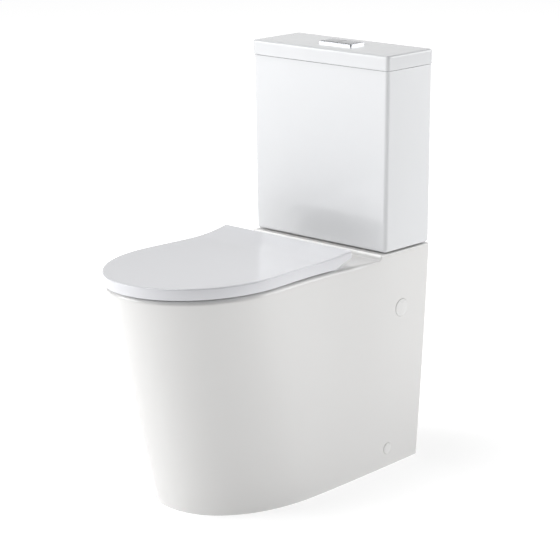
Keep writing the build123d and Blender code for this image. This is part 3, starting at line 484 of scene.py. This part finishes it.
def bowl_tool(grow, top, mouth=0.0):
    """The bowl's hollow, or its outside when grown by the china's thickness."""
    middle, length = (BOWL_FRONT + BOWL_BACK) / 2, (BOWL_FRONT - BOWL_BACK) / 2
    falls = (0.00, 0.15, 0.40, 0.63, 0.82, 1.00)
    width = (1.00, 0.98, 0.83, 0.62, 0.44, 0.32)
    long = (1.00, 0.97, 0.84, 0.64, 0.44, 0.27)
    shift = (0.00, 0.01, 0.06, 0.19, 0.32, SUMP_SHIFT)
    turns = np.linspace(0, 2 * math.pi, 128, endpoint=False)
    rings = []

    def oval(height, half_x, half_y, centre):
        x, y = half_x * np.cos(turns), from_wall(centre) + half_y * np.sin(turns)
        rings.append(np.stack([x, y, np.full_like(x, height)], 1))

    floor = SUMP - grow
    soft = 0.018
    for b in quarter(6)[1:]:
        inset = soft * (1 - math.sin(b))
        half_x = BOWL_HALF * width[-1] + grow - inset
        half_y = length * long[-1] + grow - inset
        oval(floor + soft * (1 - math.cos(b)), half_x, half_y, middle - length * SUMP_SHIFT)
    for fall in np.linspace(0.93, 0.0, 30):
        height = RIM - (RIM - SUMP) * fall
        if height > top - mouth - 0.002:
            break
        half_x = BOWL_HALF * curve_through(falls, width, fall) + grow
        half_y = length * curve_through(falls, long, fall) + grow
        oval(height, half_x, half_y, middle - length * curve_through(falls, shift, fall))
    half_x, half_y = BOWL_HALF + grow, length + grow
    if mouth:
        for b in quarter(8)[:-1]:
            flare = mouth * (1 - math.cos(b))
            oval(RIM - mouth * (1 - math.sin(b)), half_x + flare, half_y + flare, middle)
        half_x, half_y = half_x + mouth, half_y + mouth
    oval(top, half_x, half_y, middle)
    return loop_solid("bowl", rings)


def trap_tube(radius):
    """The water trap, from the sump up over the weir and down to the waste outlet."""
    sump = (BOWL_FRONT + BOWL_BACK) / 2 - (BOWL_FRONT - BOWL_BACK) / 2 * SUMP_SHIFT
    runs = [(sump, TRAP_LOW), (sump - 0.098, TRAP_LOW), (sump - 0.140, WEIR), (sump - 0.212, WEIR),
            (sump - 0.264, WASTE_HEIGHT), (SPIGOT_END, WASTE_HEIGHT)]
    corners = [np.array([0, from_wall(d), z]) for d, z in runs]
    path = [corners[0]]
    for before, corner, after in zip(corners, corners[1:], corners[2:]):
        into = (corner - before) / np.linalg.norm(corner - before)
        out = (after - corner) / np.linalg.norm(after - corner)
        turn = math.acos(into @ out)
        inwards = (out - into * math.cos(turn)) / math.sin(turn)
        start = corner - into * TRAP_BEND * math.tan(turn / 2)
        for a in np.linspace(0, turn, 12):
            path.append(start + TRAP_BEND * (into * math.sin(a) + inwards * (1 - math.cos(a))))
    return tube("trap", path + [corners[-1]], radius)


def side_bar(side, distance, height, radius, inner, outer, edge=0.0):
    """Round bar square to the skirt, between two depths measured outwards from its face."""

    def half(d, z):
        x, places = pan_outline(z, PLAIN_SHARES)
        return float(np.interp(d, places, x))

    lean = (half(distance, height + 0.02) - half(distance, height - 0.02)) / 0.04
    turn = (half(distance + 0.02, height) - half(distance - 0.02, height)) / 0.04
    outwards = np.array([side, turn, -lean])
    outwards /= np.linalg.norm(outwards)
    face = np.array([side * half(distance, height), from_wall(distance), height])
    return bar(face + outwards * inner, face + outwards * outer, radius, 96, edge)


# Caps: distance from the wall and height. The seat is measured outwards from the skirt.
UPPER_CAP = (0.082, 0.3375)
LOWER_CAP = (0.104, 0.041)
CAP_SEAT = -0.0016


def china_pan():
    """The whole pan in one glazed piece: skirt, bowl, trap, waste spigot and flush way."""
    pan = pan_body()
    under = RIM - DECK
    hollow = []
    for height in (-PAST, 0.09, 0.18, 0.27, 0.36, under):
        x, d = pan_outline(height, PLAIN_SHARES, inset=PAN_WALL, back=-0.020)
        hollow.append(whole_ring(x, d, height))
    cut(pan, d_solid("hollow", hollow))
    back, front = from_wall(CISTERN_MIDDLE), from_wall(BOWL_BACK)
    spigot = [(0, from_wall(d), WASTE_HEIGHT) for d in (SPIGOT_END, SPIGOT_ROOT)]
    join(pan,
         bowl_tool(BOWL_WALL, under + 0.002),
         trap_tube(TRAP_OUTSIDE),
         bar(*spigot, SPIGOT_RADIUS),
         upright(0, CISTERN_MIDDLE, DUCT - DUCT_OUTSIDE, under + PAST, RECESS_OUTSIDE),
         bar((0, back, DUCT), (0, front, DUCT), DUCT_OUTSIDE))
    cut(pan,
        bowl_tool(0, RIM + 0.003, mouth=0.006),
        trap_tube(TRAP_BORE),
        upright(0, CISTERN_MIDDLE, PLATFORM - RECESS_DEPTH, PLATFORM + PAST, RECESS_RADIUS),
        upright(0, CISTERN_MIDDLE, DUCT - DUCT_BORE, PLATFORM - 0.010, 0.032),
        bar((0, back, DUCT), (0, front - BOWL_WALL, DUCT), DUCT_BORE))
    for side in SIDES:
        cut(pan,
            upright(side * POST, HINGE, under - PAST, RIM + PAST, BOLT_HOLE, 32),
            upright(side * CLOSE_BOLT, CISTERN_MIDDLE, under - PAST, PLATFORM + PAST, BOLT_HOLE, 32),
            upright(side * INLET, CISTERN_MIDDLE, under - PAST, PLATFORM + PAST, INLET_WELL, 48),
            side_bar(side, *UPPER_CAP, 0.0184, CAP_SEAT, 0.010),
            side_bar(side, *UPPER_CAP, 0.014, -0.028, PAST),
            side_bar(side, *LOWER_CAP, 0.0119, CAP_SEAT, 0.010),
            side_bar(side, *LOWER_CAP, 0.007, -0.0084, PAST),
            side_bar(side, *LOWER_CAP, 0.0035, -0.028, PAST))
    return smooth(pan)


def side_caps(name, place, radius):
    """A pair of round plugs, one in each side of the skirt."""
    caps = []
    for side in SIDES:
        caps.append(side_bar(side, *place, radius, CAP_SEAT, 0.0008, edge=0.0007))
    caps[0].name = name
    return smooth(join(*caps))


# ---------------------------------------------------------------- cistern

def china_cistern():
    """Open tank that widens upwards, with holes for the valves, bolts and wall screws."""
    low, high = TANK_LOW.z, TANK_HIGH.z
    y_low, y_high = TANK_LOW.y, TANK_HIGH.y
    half = RIM_BACK
    tank = slab("china_cistern", (-half, half, y_low, y_high, low, high), CISTERN_CORNER,
                edge_low=0.006, spread=TAPER)
    wall = CISTERN_WALL
    floor = low + CISTERN_FLOOR
    hollow = slab("hollow", (-half + wall, half - wall, y_low + wall, y_high - wall, floor,
                             high + 0.002), 0.006, edge_low=0.004, spread=TAPER)
    cut(tank, hollow, upright(0, CISTERN_MIDDLE, low - PAST, floor + PAST, VALVE_HOLE))
    for side in SIDES:
        screw = (side * WALL_SCREW, y_high + PAST, high - WALL_SCREW_DROP)
        cut(tank,
            upright(side * CLOSE_BOLT, CISTERN_MIDDLE, low - PAST, floor + PAST, BOLT_HOLE, 32),
            upright(side * INLET, CISTERN_MIDDLE, low - PAST, floor + PAST, INLET_HOLE, 48),
            bar(screw, (screw[0], y_high - wall - PAST, screw[2]), WALL_SCREW_HOLE, 32))
    return smooth(tank)


def lid_block(name, inset, low, high, corner, **edges):
    """Block as wide and deep as the cistern lid, less an inset all round."""
    box = (LID_LOW.x + inset, LID_HIGH.x - inset, LID_LOW.y + inset, LID_HIGH.y - inset, low, high)
    return slab(name, box, corner, **edges)


def button_block(name, half_x, half_y, low, high, corner):
    """Block around the middle of the flush buttons."""
    box = (-half_x, half_x, BUTTON_MIDDLE - half_y, BUTTON_MIDDLE + half_y, low, high)
    return slab(name, box, corner)


def china_cistern_lid():
    """Lid whose outer edge stops just short of the tank, which leaves a dark joint."""
    low, high = LID_LOW.z, LID_HIGH.z
    lid = lid_block("china_cistern_lid", 0, low, high, CISTERN_CORNER, edge_low=0.0008,
                    edge_high=0.005)
    hollow = lid_block("hollow", LID_WALL, low - PAST, high - LID_WALL, 0.004)
    opening = button_block("opening", 0.041, 0.0195, low, high + PAST, 0.003)
    groove = lid_block("groove", -0.002, low - PAST, low + LID_GROOVE, 0.003)
    core = lid_block("core", LID_REST, low - 0.002, low + 0.004, 0.004)
    return smooth(cut(lid, hollow, opening, cut(groove, core)))


def chrome_bezel():
    """Thin frame on the lid with a neck and a floor that carry the buttons."""
    top, foot = BEZEL_HIGH.z, LID_HIGH.z
    bezel = slab("chrome_bezel", (BEZEL_LOW.x, BEZEL_HIGH.x, BEZEL_LOW.y, BEZEL_HIGH.y, foot, top),
                 0.0025, edge_high=0.0008)
    neck = button_block("neck", 0.0405, 0.019, BEZEL_LOW.z, foot + PAST, 0.0025)
    floor = BEZEL_LOW.z + 0.003
    inner = button_block("inner", 0.039, 0.0175, floor, top + 0.002, 0.0005)
    cut(join(bezel, neck), inner)
    for side in SIDES:
        cut(bezel, bar((side * STEM, BUTTON_MIDDLE, floor - 0.004),
                       (side * STEM, BUTTON_MIDDLE, floor + PAST), STEM_HOLE, 32))
    return smooth(bezel)


def chrome_button(name, low, high, side):
    """One push plate with a soft edge, and its stem."""
    top = high.z
    skirt = 0.010
    button = slab(name, (low.x, high.x, low.y, high.y, top - skirt, top - 0.0004), 0.0012,
                  edge_high=0.0011, crown=0.0004)
    inner = slab("inner", (low.x + 0.002, high.x - 0.002, low.y + 0.002, high.y - 0.002,
                           top - skirt - PAST, top - 0.0025), 0.0008)
    cut(button, inner)
    stem = bar((side * STEM, BUTTON_MIDDLE, low.z), (side * STEM, BUTTON_MIDDLE, top - 0.0015),
               STEM_RADIUS, 32)
    return smooth(join(button, stem))


# ---------------------------------------------------------------- seat

SEAT_HALF = 0.171
SEAT_WAIST = 0.1675
SEAT_NOSE_HALF = 0.1745


def seat_outline(inset, back, shares, corner=0.0):
    """The seat's outline, or the same outline moved inwards."""
    nose_start = DEPTH - SEAT_NOSE
    knots = [back, (back + nose_start) / 2]
    halves = [SEAT_HALF - inset, SEAT_WAIST - inset]
    return d_outline(knots, halves, nose_start, DEPTH - inset, SEAT_NOSE_HALF - inset, 2.0, shares,
                     corner)


def seat_top(distance, drop=0.0):
    """Height of the lid's top, which curves up towards its back edge."""
    bend = np.maximum(SEAT_BACK + SEAT_RISE_LENGTH - distance, 0) / SEAT_RISE_LENGTH
    return SEAT_TOP - drop + SEAT_RISE * bend ** 2


def seat_under(distance):
    """Height of the lid's lower edge, which lifts towards the back over the hinges."""
    low = SEAT_TOP - 0.0215
    end = SEAT_TOP + SEAT_RISE - 0.014
    share = np.clip((SEAT_BACK + 0.045 - distance) / 0.045, 0, 1)
    return low + (end - low) * share


def seat_cover():
    """Thin lid that wraps over the ring, with hinge lugs at the back."""
    x, d = seat_outline(0, SEAT_BACK, np.linspace(0, 1, 70), corner=0.003)
    top, under = seat_top(d), seat_under(d)
    edge_top, edge_under = 0.0028, 0.0012
    rings = []
    for b in quarter(4):
        ring = whole_ring(x, d, under + edge_under * (1 - math.cos(b)))
        rings.append(pulled_in(ring, edge_under * (1 - math.sin(b))))
    for b in quarter(8):
        ring = whole_ring(x, d, top - edge_top * (1 - math.sin(b)))
        rings.append(pulled_in(ring, edge_top * (1 - math.cos(b))))
    cover = d_solid("seat_cover", rings)
    x, d = seat_outline(0.0045, SEAT_BACK + 0.003, np.linspace(0, 1, 60))
    inner = [whole_ring(x, d, RIM - 0.010)]
    for b in quarter(5):
        ring = whole_ring(x, d, seat_top(d, 0.004) - 0.002 * (1 - math.sin(b)))
        inner.append(pulled_in(ring, 0.002 * (1 - math.cos(b))))
    cut(cover, d_solid("inner", inner))
    for side in SIDES:
        low, high = sorted((side * (POST - LUG_FAR), side * (POST - LUG_NEAR)))
        y_low, y_high = from_wall(HINGE + BARREL), from_wall(HINGE - BARREL)
        web = slab("web", (low, high, y_low, y_high, AXIS, SEAT_TOP + PAST), 0.0005)
        join(cover, join(level(low, high, HINGE, AXIS, BARREL), web))
        cut(cover, level(low - PAST, high + PAST, HINGE, AXIS, PIN_HOLE))
        notch = slab("notch", (side * POST - 0.007, side * POST + 0.007, from_wall(SEAT_BACK + 0.004),
                               from_wall(SEAT_BACK - PAST), AXIS - 0.010,
                               SEAT_TOP + SEAT_RISE - 0.004), 0.0005)
        cut(cover, notch)
    return smooth(cover)


RING_LOW = RIM + 0.0035
RING_HIGH = RIM + 0.0185
RING_BACK = 0.262
RING_INSET = 0.0061
RING_WIDTH = 0.062
RING_CORNER = 0.006
RING_EDGE_LOW = 0.002
RING_EDGE_HIGH = 0.0045


def ring_hole():
    """Oval tool whose flared ends round the edges of the ring's opening."""
    front_end, back_end = DEPTH - RING_INSET - RING_WIDTH, RING_BACK + RING_WIDTH
    centre, half_y = (front_end + back_end) / 2, (front_end - back_end) / 2
    half_x = SEAT_NOSE_HALF - RING_INSET - RING_WIDTH
    rows = [(RING_LOW - 0.002, 0.0026)]
    for b in quarter(4)[1:]:
        rows.append((RING_LOW + RING_EDGE_LOW * (1 - math.cos(b)), RING_EDGE_LOW * (1 - math.sin(b))))
    for b in quarter(8)[:-1]:
        rows.append((RING_HIGH - RING_EDGE_HIGH * (1 - math.sin(b)),
                     RING_EDGE_HIGH * (1 - math.cos(b))))
    rows.append((RING_HIGH + 0.002, 0.0052))
    turns = np.linspace(0, 2 * math.pi, 160, endpoint=False)
    hole = []
    for height, flare in rows:
        px = (half_x + flare) * np.cos(turns)
        py = from_wall(centre) + (half_y + flare) * np.sin(turns)
        hole.append(np.stack([px, py, np.full_like(px, height)], 1))
    return loop_solid("hole", hole)


def seat_loop():
    """Ring that carries the user, soft on every edge, with hinge lugs at the back."""
    x, d = seat_outline(RING_INSET, SEAT_BACK, np.linspace(0, 1, 70))
    keep = d >= RING_BACK
    start = np.interp(RING_BACK, d, x)
    x, d = np.concatenate([[start], x[keep]]), np.concatenate([[RING_BACK], d[keep]])
    turns = quarter(5)[:-1]
    keep = d > RING_BACK + RING_CORNER
    start = np.interp(RING_BACK + RING_CORNER, d, x)
    x = np.concatenate([start - RING_CORNER * (1 - np.sin(turns)), [start], x[keep]])
    d = np.concatenate([RING_BACK + RING_CORNER * (1 - np.cos(turns)), [RING_BACK + RING_CORNER],
                        d[keep]])
    rings = []
    for height, pull in edge_rows(RING_LOW, RING_HIGH, RING_EDGE_LOW, RING_EDGE_HIGH):
        rings.append(pulled_in(whole_ring(x, d, height), pull))
    ring = cut(d_solid("seat_loop", rings), ring_hole())
    for side in SIDES:
        low, high = sorted((side * (POST + LUG_NEAR), side * (POST + LUG_FAR)))
        web = slab("web", (low, high, from_wall(RING_BACK + 0.008), from_wall(HINGE + 0.003),
                           AXIS - BARREL, RING_HIGH), 0.0005)
        join(ring, join(level(low, high, HINGE, AXIS, BARREL), web))
        cut(ring, level(low - PAST, high + PAST, HINGE, AXIS, PIN_HOLE))
    return smooth(ring)


# ---------------------------------------------------------------- materials

PATCH_SIZE = 0.03


def finish_material(name, colour, roughness, metallic=0.0, coat=0.0, tint=0.02, tint_size=0.12,
                    rough_spread=0.02, grain=0.0, grain_size=0.002, wave=0.0, wave_size=0.1,
                    stretch=(1, 1, 1), clear=0.0):
    """Procedural surface: colour that drifts slightly, patchy gloss, fine grain and slow waves."""
    material = bpy.data.materials.new(name)
    material.use_nodes = True
    tree = material.node_tree
    shader = tree.nodes["Principled BSDF"]
    place = tree.nodes.new("ShaderNodeTexCoord").outputs["Object"]
    stretched = tree.nodes.new("ShaderNodeMapping")
    stretched.inputs["Scale"].default_value = stretch
    tree.links.new(place, stretched.inputs["Vector"])

    def noise(size, detail=3.0):
        node = tree.nodes.new("ShaderNodeTexNoise")
        node.inputs["Scale"].default_value = 1 / size
        node.inputs["Detail"].default_value = detail
        tree.links.new(stretched.outputs["Vector"], node.inputs["Vector"])
        return node.outputs["Fac"]

    mix = tree.nodes.new("ShaderNodeMix")
    mix.data_type = "RGBA"
    mix.inputs["A"].default_value = [c * (1 - tint) for c in colour] + [1]
    mix.inputs["B"].default_value = [min(c * (1 + tint), 1) for c in colour] + [1]
    tree.links.new(noise(tint_size), mix.inputs["Factor"])
    tree.links.new(mix.outputs["Result"], shader.inputs["Base Color"])

    spread = tree.nodes.new("ShaderNodeMapRange")
    spread.inputs["From Min"].default_value = 0.3
    spread.inputs["From Max"].default_value = 0.7
    spread.inputs["To Min"].default_value = max(roughness - rough_spread, 0.01)
    spread.inputs["To Max"].default_value = roughness + rough_spread
    tree.links.new(noise(PATCH_SIZE, 5.0), spread.inputs["Value"])
    tree.links.new(spread.outputs["Result"], shader.inputs["Roughness"])

    normal = None
    for strength, size in ((wave, wave_size), (grain, grain_size)):
        if strength:
            bump = tree.nodes.new("ShaderNodeBump")
            bump.inputs["Strength"].default_value = 1.0
            bump.inputs["Distance"].default_value = strength
            tree.links.new(noise(size, 1.0), bump.inputs["Height"])
            if normal:
                tree.links.new(normal, bump.inputs["Normal"])
            normal = bump.outputs["Normal"]
    if normal:
        tree.links.new(normal, shader.inputs["Normal"])

    shader.inputs["Metallic"].default_value = metallic
    shader.inputs["Coat Weight"].default_value = coat
    shader.inputs["Coat Roughness"].default_value = 0.05
    shader.inputs["Transmission Weight"].default_value = clear
    return material


LOOKS = {
    "pan_glaze": dict(colour=(0.80, 0.795, 0.785), roughness=0.24, coat=0.65, tint=0.006,
                      tint_size=0.25, rough_spread=0.004, wave=0.00035, wave_size=0.16,
                      grain=0.000006, grain_size=0.004),
    "cistern_glaze": dict(colour=(0.80, 0.81, 0.825), roughness=0.26, coat=0.50, tint=0.006,
                          tint_size=0.25, rough_spread=0.004, wave=0.0002, wave_size=0.14,
                          grain=0.000006, grain_size=0.004),
    "seat_plastic": dict(colour=(0.775, 0.78, 0.81), roughness=0.18, coat=0.50, tint=0.006,
                         tint_size=0.2, rough_spread=0.01, wave=0.0001, wave_size=0.12),
    "chrome": dict(colour=(0.44, 0.45, 0.47), roughness=0.08, metallic=1.0, tint=0.015,
                   tint_size=0.03, rough_spread=0.015, wave=0.00002, wave_size=0.02),
    "cap_plastic": dict(colour=(0.84, 0.84, 0.83), roughness=0.28, tint=0.01, tint_size=0.02,
                        grain=0.00001, grain_size=0.0006),
    "valve_plastic": dict(colour=(0.74, 0.74, 0.71), roughness=0.42, tint=0.03, tint_size=0.03,
                          rough_spread=0.06, grain=0.00003, grain_size=0.0008),
    "blue_plastic": dict(colour=(0.03, 0.11, 0.36), roughness=0.38, tint=0.08, tint_size=0.03,
                         rough_spread=0.06, grain=0.00003, grain_size=0.0008),
    "nylon": dict(colour=(0.62, 0.61, 0.56), roughness=0.45, tint=0.04, tint_size=0.02,
                  rough_spread=0.06, grain=0.00004, grain_size=0.001),
    "clear_rubber": dict(colour=(0.74, 0.76, 0.77), roughness=0.35, tint=0.02, tint_size=0.01,
                         grain=0.00002, grain_size=0.0007, clear=0.25),
    "black_rubber": dict(colour=(0.018, 0.018, 0.018), roughness=0.62, tint=0.15, tint_size=0.01,
                         rough_spread=0.08, grain=0.00008, grain_size=0.0009),
    "foam": dict(colour=(0.03, 0.03, 0.033), roughness=0.85, tint=0.2, tint_size=0.008,
                 rough_spread=0.05, grain=0.0003, grain_size=0.0012),
    "steel": dict(colour=(0.52, 0.52, 0.53), roughness=0.32, metallic=1.0, tint=0.05,
                  tint_size=0.01, rough_spread=0.08, grain=0.00003, grain_size=0.0012,
                  stretch=(1, 1, 0.08)),
}
FINISHES = {name: finish_material(name, **look) for name, look in LOOKS.items()}


def dress(thing, slot, body, *nodes):
    """Gives a piece its finish and its body, and hides the CAD nodes that it stands for."""
    thing.data.materials.clear()
    thing.data.materials.append(FINISHES[slot])
    thing.data.polygons.foreach_set("material_index", [0] * len(thing.data.polygons))
    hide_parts(*nodes)
    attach(thing, body)


# ---------------------------------------------------------------- pieces

PAN_NODES = ("pan_skirt", "pan_deck", "pan_bowl", "pan_trap", "pan_flush_way")

dress(china_pan(), "pan_glaze", "toilet", *PAN_NODES)
dress(china_cistern(), "cistern_glaze", "toilet", "cistern_tank")
dress(china_cistern_lid(), "cistern_glaze", "cistern_lid", "cistern_lid")
dress(chrome_bezel(), "chrome", "cistern_lid", "button_bezel")
dress(chrome_button("chrome_full_button", FULL_LOW, FULL_HIGH, 1), "chrome", "full_button",
      "full_flush_button")
dress(chrome_button("chrome_half_button", HALF_LOW, HALF_HIGH, -1), "chrome", "half_button",
      "half_flush_button")
dress(side_caps("upper_caps", UPPER_CAP, 0.018), "cap_plastic", "toilet", "upper_side_caps")
dress(side_caps("lower_caps", LOWER_CAP, 0.0115), "cap_plastic", "toilet", "lower_side_caps")
dress(seat_cover(), "seat_plastic", "seat_lid", "seat_lid")
dress(seat_loop(), "seat_plastic", "seat_ring", "seat_ring")

replaced = {"cistern_tank", "cistern_lid", "button_bezel", "full_flush_button", "half_flush_button",
            "upper_side_caps", "lower_side_caps", "seat_lid", "seat_ring", *PAN_NODES}
slot_of = {part["node"]: part["material_slot"] for part in frame["record"]["subparts"]}
for node, thing in frame["nodes"].items():
    if node not in replaced:
        for slot in thing.material_slots:
            slot.material = FINISHES[slot_of[node]]


# ---------------------------------------------------------------- room, light and camera

FLOOR_REACH = 60
FLOOR_GLOW = (0.70, 0.90)
GLOW_FROM, GLOW_TO = 0.3, 1.1
LIGHT_DISTANCE = 6.0
LIGHT_AIM = Vector((0, 0, 0.4))

# Each light: azimuth and elevation in degrees, width and height in metres, power in watts.
LIGHTS = {
    "key_box": (-46, 22, (4.4, 3.4), 225),
    "rear_box": (148, 20, (4.2, 3.2), 175),
    "left_rear_box": (-137, 22, (6.5, 4.6), 72),
    "right_box": (105, 20, (2.0, 2.4), 6),
    "top_box": (-40, 72, (2.8, 2.8), 150),
}


def direction(azimuth, elevation):
    """Unit vector away from the toilet. Azimuth 0 is straight in front, 90 is on the right."""
    azimuth, elevation = math.radians(azimuth), math.radians(elevation)
    return Vector((math.sin(azimuth) * math.cos(elevation), -math.cos(azimuth) * math.cos(elevation),
                   math.sin(elevation)))


def plain_floor():
    """Wide pale floor under the toilet, a little brighter further out."""
    mesh = bpy.data.meshes.new("floor")
    corners = [(x * FLOOR_REACH, y * FLOOR_REACH, 0) for x, y in ((-1, -1), (1, -1), (1, 1), (-1, 1))]
    mesh.from_pydata(corners, [], [(0, 1, 2, 3)])
    floor = bpy.data.objects.new("floor", mesh)
    bpy.context.scene.collection.objects.link(floor)
    paint = bpy.data.materials.new("floor_paint")
    paint.use_nodes = True
    shader = paint.node_tree.nodes["Principled BSDF"]
    shader.inputs["Base Color"].default_value = (0.5, 0.5, 0.5, 1)
    shader.inputs["Roughness"].default_value = 1.0
    shader.inputs["Specular IOR Level"].default_value = 0.0
    shader.inputs["Emission Color"].default_value = (1, 1, 1, 1)
    tree = paint.node_tree
    place = tree.nodes.new("ShaderNodeNewGeometry").outputs["Position"]
    away = tree.nodes.new("ShaderNodeVectorMath")
    away.operation = "LENGTH"
    glow = tree.nodes.new("ShaderNodeMapRange")
    glow.interpolation_type = "SMOOTHSTEP"
    glow.inputs["From Min"].default_value = GLOW_FROM
    glow.inputs["From Max"].default_value = GLOW_TO
    glow.inputs["To Min"].default_value = FLOOR_GLOW[0]
    glow.inputs["To Max"].default_value = FLOOR_GLOW[1]
    tree.links.new(place, away.inputs[0])
    tree.links.new(away.outputs["Value"], glow.inputs["Value"])
    tree.links.new(glow.outputs["Result"], shader.inputs["Emission Strength"])
    mesh.materials.append(paint)


def soft_box(name, azimuth, elevation, size, power):
    """Large studio light aimed at the toilet."""
    light = bpy.data.lights.new(name, "AREA")
    light.shape = "RECTANGLE"
    light.size, light.size_y = size
    light.energy = power
    lamp = bpy.data.objects.new(name, light)
    bpy.context.scene.collection.objects.link(lamp)
    away = direction(azimuth, elevation)
    lamp.location = LIGHT_AIM + LIGHT_DISTANCE * away
    lamp.rotation_euler = (-away).to_track_quat("-Z", "Y").to_euler()


def studio():
    """Key light from the front left, a broad one from behind right and three weaker ones."""
    scene = bpy.context.scene
    world = bpy.data.worlds.new("studio")
    world.use_nodes = True
    background = world.node_tree.nodes["Background"]
    background.inputs["Color"].default_value = (0.98, 0.99, 1.0, 1)
    background.inputs["Strength"].default_value = 0.04
    scene.world = world
    for name, setting in LIGHTS.items():
        soft_box(name, *setting)
    scene.view_settings.view_transform = "Standard"
    scene.view_settings.look = "None"


def main_camera():
    """Long lens from the front right, a little above the seat."""
    azimuth, elevation, roll = 42.938, 14.736, math.radians(-0.438)
    distance = 4.0901
    target = Vector((0.0439, 0.038, 0.4151))
    back = direction(azimuth, elevation)
    level_right = Vector((-back.y, back.x, 0)).normalized()
    level_up = back.cross(level_right)
    right = level_right * math.cos(roll) + level_up * math.sin(roll)
    up = level_up * math.cos(roll) - level_right * math.sin(roll)
    data = bpy.data.cameras.new("camera")
    data.lens = 134.2
    data.sensor_width = 36
    data.shift_x = -0.00135
    camera = bpy.data.objects.new("camera", data)
    bpy.context.scene.collection.objects.link(camera)
    turn = Matrix((right, up, back)).transposed()
    camera.matrix_world = Matrix.Translation(target + back * distance) @ turn.to_4x4()
    bpy.context.scene.camera = camera


plain_floor()
studio()
main_camera()
